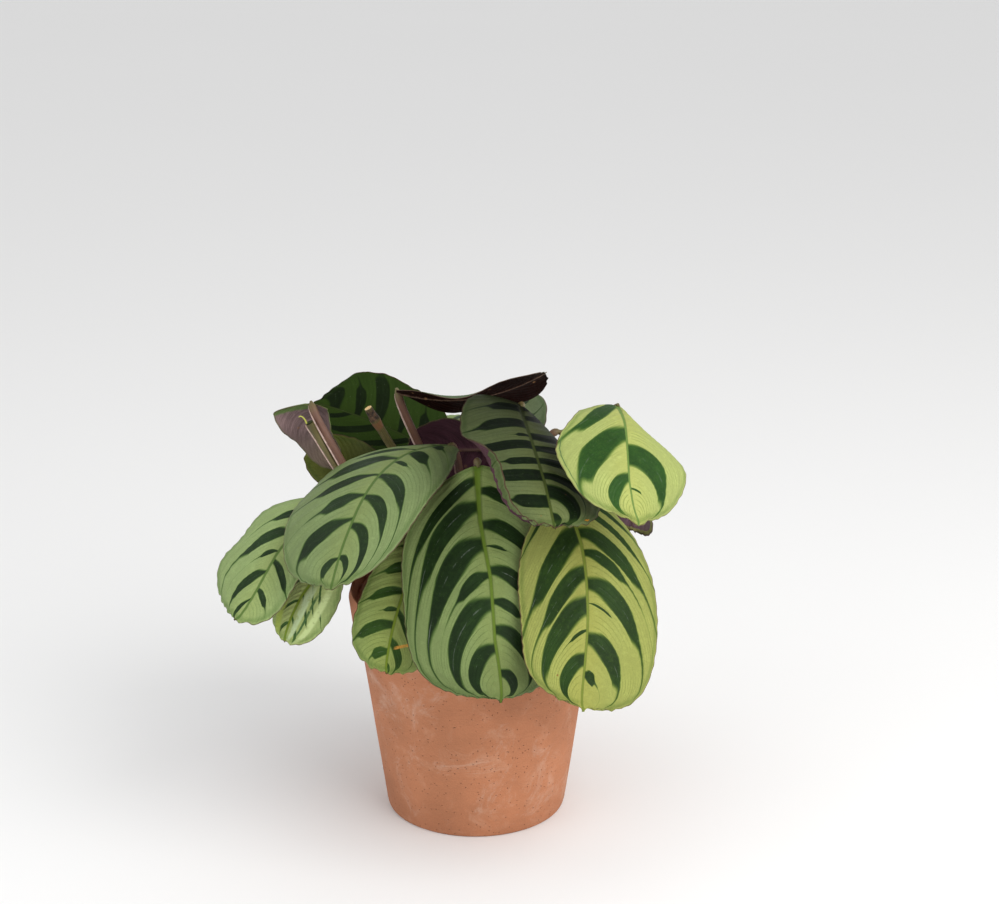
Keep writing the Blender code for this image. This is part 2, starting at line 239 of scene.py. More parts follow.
def even_halves(growth, width, *reaches):
    """Both halves of a leaf that hardly shows its upper side, with evenly spaced stripes."""
    return [striped((1.6, 0.25, growth), 0.5, *zip(starts, (width,) * len(reaches), reaches))
            for starts in ((20, 45, 70), (30, 55, 80))]


PATTERNS = {
    # Painted light: the ground is made lighter and shade takes it back down towards the tip, so
    # that the upper part stays light where the leaves above shade it.
    "front_middle": Pattern(
        striped((1.8, 0.17, 0.66), 0.4, (7, 4.5, 80), (18.5, 6.6, 75), (35, 7.8, 70),
                (48.3, 3.6, 36), (60.5, 7.5, 60), (78.5, 5.2, 50)),
        striped((1.8, 0.14, 0.5), 0.45, (11.8, 3.6, 60), (26.8, 4.5, 62), (36, 0.7, 25),
                (46.5, 4.5, 60), (59.5, 2.8, 33), (71, 4.5, 55), (88.5, 3.6, 40)),
        ground=(0.35, 0.47, 0.165), stripe=(0.014, 0.038, 0.007), rib=(0.17, 0.27, 0.03),
        shade=(1.0, 0.55), scratches=1.0, rib_width=1.2, lean=(-0.05, -0.07, -0.02, -0.03, 0.03),
        marks=((-0.87, 0.06, -0.84, 0.06, 0.006, (0.5, 0.16, 0.02)),)),
    "front_right": Pattern(
        striped((1.6, 0.3, 0.3), 0.55, (-12, 3.5, 85), (20, 9, 76), (38.5, 6.8, 64), (54, 8.5, 70),
                (65.5, 1.2, 25), (78.5, 5.6, 50)),
        striped((1.6, 0.33, 0.2), 0.45, (-10, 5, 85), (4.5, 3.5, 80), (19.5, 6, 72), (29, 4, 50),
                (43.8, 6.6, 66), (53, 0.6, 30), (69, 6.2, 50), (85, 3, 16)),
        ground=(0.38, 0.415, 0.105), stripe=(0.017, 0.044, 0.006), rib=(0.17, 0.22, 0.03),
        scratches=0.5, rib_width=0.9, lean=(0.0, -0.01, -0.07, -0.1, -0.1)),
    "front_left": Pattern(
        striped((1.6, 0.165, 0.0), 0.55, (12, 4, 60), (30, 4.5, 60), (46.5, 3.8, 72),
                (58.5, 1.8, 30), (68.5, 4.6, 78), (85.5, 3.6, 42)),
        striped((1.3, 0.55, 0.0), 0.55, (5, 4, 50), (20, 5, 50), (40, 5, 50), (59.5, 4.2, 50),
                (78.5, 5.2, 42), (93, 2, 20)),
        ground=(0.30, 0.385, 0.11), stripe=(0.026, 0.065, 0.008), rib=(0.17, 0.24, 0.02),
        lean=(-0.09, -0.09, -0.08, -0.06, -0.04),
        marks=((0.12, 0.825, 0.5, 0.77, 0.014, (0.62, 0.3, 0.05)),)),
    # Painted shade: shade darkens the ground a little at the base, the upper part of the blade.
    "left_arching": Pattern(
        striped((1.2, 0.1, 0.18), 0.2, (6, 3, 60), (18.5, 3.5, 70), (31, 5.8, 72), (45.7, 3.6, 66),
                (59, 4, 46), (71.5, 4.4, 66), (88.3, 2.1, 32)),
        striped((2.2, 0.02, 0.55), 0.4, (9, 3, 40), (23.5, 4.6, 50), (34.5, 1.5, 30),
                (46.5, 4.4, 66), (60.3, 3.8, 62), (74.8, 3.7, 74), (88.2, 2.1, 42)),
        ground=(0.245, 0.33, 0.13), stripe=(0.016, 0.034, 0.011), rib=(0.09, 0.16, 0.035),
        scratches=0.35, vein_strength=0.2, shade=(0.86, 1.0),
        lean=(-0.03, -0.01, 0.03, 0.07, 0.04)),
    "left_far": Pattern(
        striped((1.3, 0.05, 0.85), 0.25, (-5, 5, 75), (16, 4, 50), (32.5, 6.4, 56), (48, 2.2, 24),
                (63, 4.8, 42), (82.5, 3.4, 40)),
        striped((1.6, 0.17, 0.0), 0.5, (10, 4, 60), (33, 4, 60), (55, 3.4, 82), (75.5, 2.8, 55)),
        ground=(0.35, 0.465, 0.18), stripe=(0.017, 0.040, 0.011), rib=(0.11, 0.19, 0.04),
        lean=(0.0, 0.0, 0.0, 0.13, 0.2)),
    "left_curled": Pattern(
        striped((1.4, 0.6, 0.0), 0.5, (20, 3, 50), (55, 3, 45), (80, 3, 35)),
        striped((1.0, 1.15, -0.75), 0.5, (10, 3.5, 75), (28, 2, 50), (46, 3.2, 45), (72, 3.6, 50)),
        # Marks: a yellow-green patch on the left half and, on the right half, two pale bands that
        # are painted highlights on fold ridges, with a dark streak of painted shade in the fold
        # between them.
        marks=((-0.55, 0.55, -0.45, 0.97, 0.22, (0.4, 0.5, 0.1)),
               (0.12, 0.35, 0.2, 0.97, 0.1, (0.5, 0.62, 0.34)),
               (0.3, 0.4, 0.38, 0.9, 0.05, (0.06, 0.13, 0.04)),
               (0.55, 0.3, 0.6, 0.95, 0.14, (0.55, 0.66, 0.3))),
        ground=(0.48, 0.61, 0.23), stripe=(0.055, 0.12, 0.03),
        lean=(-0.1, -0.2, -0.25, -0.2, -0.1)),
    # Painted shade: a dark ground, which shade darkens almost to black at the base, the upper part
    # under the crown leaf.
    "centre_shaded": Pattern(
        striped((1.6, 0.3, -0.4), 0.9, (10, 5.2, 60), (28.5, 4.5, 74), (39, 1.2, 22), (46.8, 4, 78),
                (59, 2.6, 46), (69, 4.3, 66), (85.2, 4.5, 52)),
        striped((1.6, -0.6, 1.05), 0.8, (8, 3, 50), (20, 3.6, 60), (38.5, 4, 60), (49, 3.2, 55),
                (58.5, 2.8, 50), (69, 3, 52), (79, 5.8, 88), (94, 3.2, 55)),
        marks=((-0.62, 0.985, -0.54, 0.985, 0.006, (0.12, 0.05, 0.02)),
               (0.82, 0.93, 0.9, 0.92, 0.007, (0.55, 0.22, 0.02))),
        ground=(0.168, 0.214, 0.084), stripe=(0.006, 0.014, 0.004), rib=(0.065, 0.09, 0.018),
        scratches=0.3, vein_strength=0.2, rib_width=1.1, shade=(0.05, 1.0), shine=0.06,
        lean=(-0.09, -0.07, -0.045, -0.01, 0.0)),
    "right_pale": Pattern(
        striped((1.35, 0.48, 0.0), 0.5, (-3, 15, 75), (38.8, 14.5, 75), (72.7, 6.4, 50)),
        striped((1.6, 0.0, 0.66), 0.85, (56.5, 10, 60), (79.5, 0.6, 15)),
        # The two dark marks along the left margin are painted shade on the margin where it rolls
        # down.
        marks=((-0.95, 0.38, -0.93, 0.8, 0.01, (0.08, 0.14, 0.045)),
               (-0.93, 0.78, -0.98, 0.9, 0.01, (0.08, 0.14, 0.045))),
        ground=(0.46, 0.53, 0.165), stripe=(0.022, 0.075, 0.010), rib=(0.14, 0.24, 0.05),
        vein_strength=0.6, scratches=0.25, rib_width=0.7, lean=(-0.05, -0.08, -0.12, -0.15, -0.12)),
    # Painted shade: ground, stripes and midrib are made very dark, for a leaf that stands in deep
    # shade behind the stems.
    "back_upright": Pattern(
        striped((1.6, 0.16, 0.0), 0.6, (20, 5, 60), (36, 3, 50), (53, 5.5, 95), (68, 4, 60),
                (85, 7, 95)),
        striped((1.3, 0.5, 0.2), 0.6, (5, 4, 50), (27, 5, 60), (50, 6, 62), (74, 5, 60)),
        ground=(0.024, 0.048, 0.007), stripe=(0.006, 0.012, 0.003), rib=(0.025, 0.04, 0.008),
        scratches=0.1, rib_width=0.7, shine=0.04),
    # Painted shade: a dark olive ground, which shade darkens almost to black at the base.
    "left_olive": Pattern(
        *even_halves(0.1, 0), ground=(0.15, 0.18, 0.03), rib=(0.09, 0.12, 0.02), shade=(0.1, 1)),
    "left_purple": Pattern(*even_halves(0.2, 5, 60, 60, 50), beneath="mauve"),
    # Painted shade: a dark grey-green ground and stripes, for a leaf that stands in shade behind
    # the others.
    "back_top": Pattern(*even_halves(0.2, 5, 60, 60, 50), ground=(0.10, 0.135, 0.065),
                        stripe=(0.012, 0.022, 0.010)),
    "right_back": Pattern(*even_halves(0.3, 5, 60, 60, 50), beneath="lilac"),
    "crown": Pattern(*even_halves(0.2, 4, 50, 50, 50), ground=(0.12, 0.18, 0.08),
                     beneath="maroon"),
}

# Outlines of their own, for the left and the right half, in per cent: (t, half width)

OUTLINES = {
    "left_arching": (
        ((0, 12), (3, 35), (7, 50), (13, 70), (19, 84), (25, 97), (30, 104), (37, 108), (56, 110),
         (70, 104), (81, 93), (87, 86), (93, 70), (97, 42), (98.5, 14), (100, 2)),
        ((0, 12), (3, 30), (9, 45), (16, 60), (28, 76), (40, 90), (52, 96), (60, 95), (66, 91),
         (77, 80), (83, 71), (92, 50), (97, 25), (98.5, 10), (100, 2))),
    "back_upright": (
        ((0, 2), (5, 46), (10, 64), (20, 84), (30, 94), (40, 99), (50, 102), (60, 105), (68, 103),
         (74, 94), (79, 86), (81.5, 98), (85, 76), (88, 64), (90, 54), (93, 40), (96, 25), (98, 10),
         (100, 2)),
        ((0, 2), (5, 46), (10, 64), (20, 84), (30, 94), (40, 98.5), (50, 100), (60, 98), (66, 95),
         (73, 89), (79, 81), (85, 72), (90, 60), (93, 50), (96, 35), (98, 14), (100, 2))),
    "right_pale": (
        ((0, 28), (3, 45), (7, 60), (15, 74), (26, 90), (35, 107), (50, 117), (60, 117), (68, 113),
         (75, 106), (83, 93), (89, 76), (93, 52), (96, 20), (98, 8), (100, 2)),
        ((0, 4), (8, 7), (16, 14), (25, 32), (32, 50), (40, 75), (47, 90), (55, 95), (66, 92),
         (77, 80), (87, 62), (93, 40), (96, 17), (98, 8), (100, 2))),
}

# How much more a margin ripples, and where it rolls up: (side, begins, full, ends, out, degrees)

RIPPLED = {"centre_shaded": 1.6, "left_far": 1.4, "front_left": 1.5}
ROLLED = {
    "centre_shaded": ((0, 0.35, 0.75, 1.6, 0.5, 140.0),),
    "back_upright": ((0, 0.2, 0.33, 0.45, 0.86, 140.0),),
    "left_curled": ((1, 0.2, 0.6, 1.0, 0.75, 80.0),),
}


@dataclass
class BareStem:
    """A stem without a blade, from its shoot to its free end."""

    shoot: str
    end: tuple
    heading: tuple
    handle: float
    radius: float


CUT_STUB = BareStem("middle", (-52, -14, 217), (-0.44, -0.15, 0.88), 40, 2.1)
OLD_SHEATH = BareStem("left", (-80.5, -19, 211), (-0.42, -0.08, 0.9), 30, 1.5)
BARE_STEM_RISE = 0.3
STALK_START = 109.0
STALK_SPREAD = 1.8
STALK_RADIUS = 2.2
STALK_TIP_RADIUS = 1.7


# Curves and surfaces


def unit(vectors):
    """Vectors of length one, along the last axis."""
    vectors = np.asarray(vectors, float)
    return vectors / np.maximum(np.linalg.norm(vectors, axis=-1, keepdims=True), 1e-12)


def ease(low, high, values):
    """0 below low, 1 above high and a smooth change between them."""
    share = np.clip((np.asarray(values, float) - low) / (high - low), 0.0, 1.0)
    return share * share * (3.0 - 2.0 * share)


def half_width(leaf, side, t):
    """Share of the full half width at t, from 0 at the blade's base to 1 at its tip."""
    if leaf.name in OUTLINES:
        places, shares = np.array(OUTLINES[leaf.name][side]).T / 100
        near = 0.055 * np.minimum(1.0, 4.0 * (1.0 - t))
        return sum(np.interp(t + step * near, places, shares) for step in (-1, -0.5, 0, 0.5, 1)) / 5
    along = np.clip(t / (1.0 - TIP_POINT), 0.0, 1.0)
    to_base = np.clip(1.0 - along / leaf.widest, 0.0, 1.0)
    to_tip = np.clip((along - leaf.widest) / (1.0 - leaf.widest), 0.0, 1.0)
    rounded_base = (1.0 - to_base ** BASE_SWELL) ** BASE_FULLNESS
    blunt_tip = (1.0 - to_tip ** leaf.blunt) ** TIP_FULLNESS
    body = np.where(along < leaf.widest, rounded_base, blunt_tip)
    short_point = TIP_POINT_WIDTH * (1.0 - t) / (2.0 * TIP_POINT)
    short_point = np.where(t > 1.0 - 2.0 * TIP_POINT, short_point, 0.0)
    return np.maximum(np.maximum(body, short_point), TIP_HALF_WIDTH)


def midrib(leaf, t):
    """Points and directions of the arched midrib at the values t."""
    base, tip = np.array(leaf.base, float), np.array(leaf.tip, float)
    chord = tip - base
    along = unit(chord)
    outward = np.array(leaf.faces, float)
    outward = unit(outward - (outward @ along) * along)
    sideways = np.cross(outward, along)
    control = (base + tip) / 2 + 2 * leaf.arch * outward + 2 * leaf.bend * sideways
    t = np.asarray(t, float)[:, None]
    points = (1 - t) ** 2 * base + 2 * t * (1 - t) * control + t ** 2 * tip
    directions = 2 * (1 - t) * (control - base) + 2 * t * (tip - control)
    return points, unit(directions)


def lengths_along(points):
    """The length of a line up to each of its points."""
    return np.concatenate([[0.0], np.cumsum(np.linalg.norm(np.diff(points, axis=0), axis=1))])


def even_angles(count):
    """Angles all round, in even steps."""
    return np.linspace(0.0, TURN, count, endpoint=False)


def bezier(p0, p1, p2, p3, count):
    """Points along a cubic curve."""
    t = np.linspace(0.0, 1.0, count)[:, None]
    return (1 - t) ** 3 * p0 + 3 * t * (1 - t) ** 2 * p1 + 3 * t ** 2 * (1 - t) * p2 + t ** 3 * p3


def stem_path(shoot, end, heading, handle, rise, count=44):
    """Centre line from a shoot's stump to a free end, arriving there along the heading."""
    centre = np.array(SHOOTS[shoot], float)
    towards = unit(np.array(end[:2], float) - centre)
    start = np.append(centre + STALK_SPREAD * towards, STALK_START)
    end = np.array(end, float)
    upward = start + np.array([0.0, 0.0, rise * (end[2] - start[2])])
    return bezier(start, upward, end - unit(heading) * handle, end, count)


def stalk_path(leaf):
    """Centre line of a leaf's stalk, up to the blade's base."""
    _, directions = midrib(leaf, np.array([0.0]))
    heading = unit(leaf.arrives) if leaf.arrives else directions[0]
    end = np.array(leaf.base, float)
    return stem_path(leaf.shoot, end, heading, leaf.handle, leaf.rise)


def running_sum(values, steps):
    """Sum of values times steps up to each column, starting from 0."""
    middles = (values[:, 1:] + values[:, :-1]) / 2
    return np.hstack([np.zeros((len(values), 1)), np.cumsum(middles * steps, axis=1)])


def blade_half(leaf, t, a, side, points, outward, right):
    """Points of half the blade on the grid of t and a, and their distance from the midrib."""
    sign = -1.0 if side == 0 else 1.0
    angle = math.radians(leaf.fold[side]) + math.radians(leaf.droop[side]) * a[None, :]
    angle = np.repeat(angle, len(t), axis=0)
    for rolled_side, begins, full, ends, out, degrees in ROLLED.get(leaf.name, ()):
        if rolled_side == side:
            share = ease(begins, full, t) * ease(ends, full, t)
            angle -= math.radians(degrees) * share[:, None] * ease(out, 1.0, a)[None, :]
    steps = np.diff(a)[None, :]
    sideways, down = running_sum(np.cos(angle), steps), running_sum(np.sin(angle), steps)
    half = half_width(leaf, side, t) * leaf.width / 2 * leaf.share[side]
    wave = np.sin(TURN * (BLADE_WAVES * t + RIGHT_WAVE_SHIFT * side))
    wave = (wave * np.sqrt(np.sin(math.pi * np.clip(t, 0, 1)).clip(0)))[:, None] * a[None, :] ** 2
    lift = WAVE_HEIGHT * wave - half[:, None] * down
    x = sign * half[:, None] * sideways
    across = x[..., None] * right[:, None, :]
    return points[:, None, :] + across + lift[..., None] * outward[:, None, :], half[:, None] * a


def blade_sheet(leaf, draw):
    """The blade's middle surface with its fine relief, and each point's place on the leaf."""
    pattern = pattern_of(leaf.name)
    even = np.linspace(0.0, 1.0, BLADE_ROWS + 1)
    t = EVEN_ROW_SHARE * even + (1.0 - EVEN_ROW_SHARE) * (1.0 - np.cos(math.pi * even)) / 2
    even = np.linspace(0.0, 1.0, 4 * HALF_COLUMNS + 1)
    a = even - 0.1 * np.sin(TURN * even)
    points, along = midrib(leaf, t)
    outward = np.array(leaf.faces, float)
    outward = unit(outward - (along @ outward)[:, None] * along)
    right = np.cross(outward, along)
    turned = np.radians(leaf.twist) * (t - 0.5)
    cosine, sine = np.cos(turned)[:, None], np.sin(turned)[:, None]
    outward, right = outward * cosine - right * sine, right * cosine + outward * sine
    halves = [blade_half(leaf, t, a, side, points, outward, right) for side in (0, 1)]
    grid = np.concatenate([halves[0][0][:, ::-1], halves[1][0][:, 1:]], axis=1)
    reach = np.concatenate([-halves[0][1][:, ::-1], halves[1][1][:, 1:]], axis=1)
    fine_u = np.concatenate([-a[::-1], a[1:]])
    u = fine_u[::4]
    lean = np.interp(t, np.linspace(0.0, 1.0, len(pattern.lean)), pattern.lean)
    lean = np.where(u[None, :] < 0, 1.0 + u[None, :], 1.0 - u[None, :]) * lean[:, None]
    fine = np.dstack([grid, reach])
    fine = np.array([[np.interp(places, fine_u, values) for values in row.T]
                     for row, places in zip(fine, u[None, :] + lean)])
    grid, reach = np.moveaxis(fine[:, :3], 1, 2), fine[:, 3]
    reach = reach - reach[:, HALF_COLUMNS:HALF_COLUMNS + 1]
    length = lengths_along(points)
    place_t = np.repeat(t[:, None], len(u), axis=1)
    place_u = np.repeat(u[None, :], len(t), axis=0)
    flat = np.stack([reach, np.repeat(length[:, None], len(u), axis=1)], axis=-1)
    rim = np.concatenate([flat[:, 0], flat[:, -1]])
    edge = np.min(np.linalg.norm(flat[:, :, None, :] - rim[None, None], axis=-1), axis=2)

    crinkle = RIPPLED.get(leaf.name, 1.0)
    start = [draw.uniform(0.0, TURN) for _ in range(4)]
    near_rim = ease(5.0, 0.0, edge) * ease(0.0, 0.06, place_t)
    near_tip = ease(0.86, 1.0, place_t)
    teeth = np.sin(TURN * flat[..., 1] / TOOTH_SPACING + start[0] + np.sign(flat[..., 0]))
    teeth *= 0.6 + 0.4 * np.sin(TURN * flat[..., 1] / TOOTH_BEAT + start[1])
    teeth *= TOOTH_HEIGHT * crinkle * near_rim * (1.0 - near_tip)
    grid += teeth[..., None] * np.sign(flat[..., :1]) * right[:, None, :]
    scallops = np.sin(TURN * flat[..., 0] / SCALLOP_SPACING + start[2])
    scallops += 0.6 * np.sin(TURN * flat[..., 0] / SCALLOP_BEAT + start[3])
    scallops *= SCALLOP_HEIGHT * crinkle * near_rim * near_tip
    grid += scallops[..., None] * along[:, None, :]

    normal = sheet_normals(grid, outward)
    crease = CREASE_DEPTH * np.exp(-(flat[..., 0] / CREASE_WIDTH) ** 2) * (1.0 - 0.6 * place_t)
    veins = place_t - sweep(pattern, place_u, place_t)
    quilt = QUILT_HEIGHT * np.sin(TURN * QUILTS * veins + start[0])
    quilt *= ease(0.0, 0.15, np.abs(place_u)) * ease(1.0, 0.75, np.abs(place_u))
    quilt *= ease(0.0, 0.1, place_t) * ease(1.0, 0.9, place_t)
    grid += (quilt - crease)[..., None] * normal
    return grid, sheet_normals(grid, outward), place_u, place_t, flat, edge


def sheet_normals(grid, outward):
    """Normals of a grid surface on its outward side."""
    down_rows = np.gradient(grid, axis=0)
    across = np.gradient(grid, axis=1)
    normal = unit(np.cross(across, down_rows))
    normal *= np.sign(np.sum(normal * outward[:, None, :], axis=-1, keepdims=True) + 1e-9)
    return normal


def sweep(pattern, u, t):
    """How far towards the tip a side vein has run at the place (u, t)."""
    result = np.zeros_like(u)
    for half, chosen in ((pattern.left, u < 0), (pattern.right, u >= 0)):
        power, at_base, growth = half.veins
        result = np.where(chosen, np.abs(u) ** power * (at_base + growth * t), result)
    return result


def pattern_of(name):
    """The leaf's own pattern, or one of the same kind for a leaf that the front view hides."""
    if name in PATTERNS:
        return PATTERNS[name]
    draw = random.Random(name)
    halves = []
    for side in (0, 1):
        stripes = []
        start = draw.uniform(0.02, 0.08) + 0.07 * side
        while start < 0.93:
            stripes.append((start, draw.uniform(0.04, 0.052),
                            draw.uniform(0.52, 0.72) * (1.15 - start * 0.5)))
            start += draw.uniform(0.145, 0.18)
            if draw.random() < 0.4 and start < 0.85:
                stripes.append((start - 0.035, 0.014, draw.uniform(0.2, 0.3)))
                start += 0.05
        halves.append(Half((1.7, 0.2, 0.42), 0.45, tuple(stripes)))
    shade = draw.uniform(0.8, 1.15)
    ground = tuple(shade * value for value in (0.25, 0.36, 0.13))
    return Pattern(halves[0], halves[1], ground=ground)


# Meshes


class Shape:
    """Gathers the corners, faces and surface places of one piece.

    place and reach are two vectors for each corner, which the finishes read to draw on the piece.
    """

    def __init__(self):
        self.corners, self.faces, self.slots = [], [], []
        self.place, self.reach = [], []

    def add(self, corners, faces, slot=0, place=None, reach=None):
        """Adds corners in millimetres, and faces that number them from 0."""
        start = len(self.corners)
        corners = np.asarray(corners, float).reshape(-1, 3) * MM
        self.corners.extend(corners.tolist())
        self.faces.extend(tuple(int(i) + start for i in face) for face in faces)
        self.slots.extend([slot] * len(faces))
        nothing = np.zeros((len(corners), 3))
        self.place.extend((nothing if place is None else np.asarray(place)).reshape(-1, 3).tolist())
        self.reach.extend((nothing if reach is None else np.asarray(reach)).reshape(-1, 3).tolist())

    def piece(self, name, finishes, sharp_angle=50.0):
        """The finished object, with normals outward and corners sharper than the angle kept."""
        mesh = bpy.data.meshes.new(name)
        mesh.from_pydata(self.corners, [], self.faces)
        for finish in finishes:
            mesh.materials.append(finish)
        mesh.polygons.foreach_set("material_index", self.slots)
        for label, values in (("place", self.place), ("reach", self.reach)):
            mesh.attributes.new(label, "FLOAT_VECTOR", "POINT")
            mesh.attributes[label].data.foreach_set("vector", np.array(values, np.float32).ravel())
        mesh.validate()
        mesh.shade_smooth()
        mesh.set_sharp_from_angle(angle=math.radians(sharp_angle))
        result = bpy.data.objects.new(name, mesh)
        bpy.context.scene.collection.objects.link(result)
        return result


def grid_faces(rows, columns, turned=False, closed=False):
    """Quads of a grid of corners. closed joins the last column to the first."""
    faces = []
    for i in range(rows - 1):
        for j in range(columns if closed else columns - 1):
            k = (j + 1) % columns
            face = (i * columns + j, i * columns + k, (i + 1) * columns + k, (i + 1) * columns + j)
            faces.append(face[::-1] if turned else face)
    return faces


def tube_faces(rows, columns):
    """Quads round a tube of corners, and a cap on each end."""
    ends = [tuple(range(columns))[::-1], tuple((rows - 1) * columns + j for j in range(columns))]
    return grid_faces(rows, columns, closed=True) + ends


def frames_along(points, sideways=(0.0, -1.0, 0.15)):
    """Directions and two cross directions at each point, the first near the given one."""
    along = unit(np.gradient(points, axis=0))
    first = np.array(sideways, float)
    firsts = []
    for direction in along:
        first = unit(first - (first @ direction) * direction)
        firsts.append(first)
    return along, np.array(firsts), np.cross(along, firsts)


def tube(shape, points, radii, sides, slot, ridges=0.0, flatten=1.0):
    """A round stem with capped ends. ridges is the depth of its lengthwise ribs."""
    _, first, second = frames_along(points)
    angles, radii = even_angles(sides), radii[:, None]
    ribbed = radii * (1.0 + ridges * np.cos(angles * 6))
    x = (ribbed * np.cos(angles))[..., None] * first[:, None]
    y = (ribbed * np.sin(angles) * flatten)[..., None] * second[:, None]
    length = lengths_along(points)[:, None]
    place = np.broadcast_arrays(3.0 * np.cos(angles), 3.0 * np.sin(angles), length)
    reach = np.broadcast_arrays(length / length[-1], radii, 0.0 * angles)
    shape.add(points[:, None] + x + y, tube_faces(len(points), sides), slot,
              np.stack(place, axis=-1), np.stack(reach, axis=-1))


def band(shape, points, inner, outer, side, spread=0.0):
    """A narrow closed strip of sheath that stands out from a stem's centre line."""
    _, first, second = frames_along(points, side)
    corners = []
    for reach, thick in ((inner, 0.3), (outer, 0.12), (outer, -0.12), (inner, -0.3)):
        thick = thick + spread * (reach - inner)
        corners.append(points + reach[:, None] * first + thick[:, None] * second)
    length = lengths_along(points)
    place = np.repeat(np.stack([0 * length, 0 * length, length], axis=-1)[:, None], 4, axis=1)
    shape.add(np.stack(corners, axis=1), tube_faces(len(points), 4), PAPER, place)


def lathe(shape, profile, steps, wobble):
    """A closed solid of revolution. The profile of (radius, height) starts and ends on the axis."""
    angles = even_angles(steps)
    rings = []
    for radius, height in profile[1:-1]:
        out = radius + wobble(angles, height)
        ring = out * np.cos(angles), out * np.sin(angles), 0 * angles + height
        rings.append(np.stack(ring, axis=-1))
    faces = grid_faces(len(rings), steps, closed=True)
    first, last = len(rings) * steps, len(rings) * steps + 1
    for j in range(steps):
        k = (j + 1) % steps
        faces += [(first, k, j), (last, first - steps + j, first - steps + k)]
    shape.add(np.concatenate([*rings, [[0, 0, profile[0][1]], [0, 0, profile[-1][1]]]]), faces)


# Finishes


class Value:
    """A number socket of a finish. Arithmetic on it adds Math nodes."""

    def __init__(self, finish, socket):
        self.finish = finish
        self.socket = socket

    def maths(self, operation, *values):
        """The result of one Math node on the values."""
        return self.finish.node("Math", {"operation": operation}, dict(enumerate(values)))

    def __add__(self, other):
        return self.maths("ADD", self, other)

    def __radd__(self, other):
        return self.maths("ADD", other, self)

    def __sub__(self, other):
        return self.maths("SUBTRACT", self, other)

    def __rsub__(self, other):
        return self.maths("SUBTRACT", other, self)

    def __mul__(self, other):
        return self.maths("MULTIPLY", self, other)

    def __rmul__(self, other):
        return self.maths("MULTIPLY", other, self)

    def __truediv__(self, other):
        return self.maths("DIVIDE", self, other)

    def __pow__(self, other):
        return self.maths("POWER", self, other)

    def __gt__(self, other):
        return self.maths("GREATER_THAN", self, other)

    def __abs__(self):
        return self.maths("ABSOLUTE", self)

    def sine(self):
        """The sine of the value."""
        return self.maths("SINE", self)

    def ease(self, low, high):
        """0 at low, 1 at high and a smooth change between them."""
        return self.finish.node("MapRange", {"interpolation_type": "SMOOTHSTEP"},
                                {0: self, 1: low, 2: high, 3: 0.0, 4: 1.0})


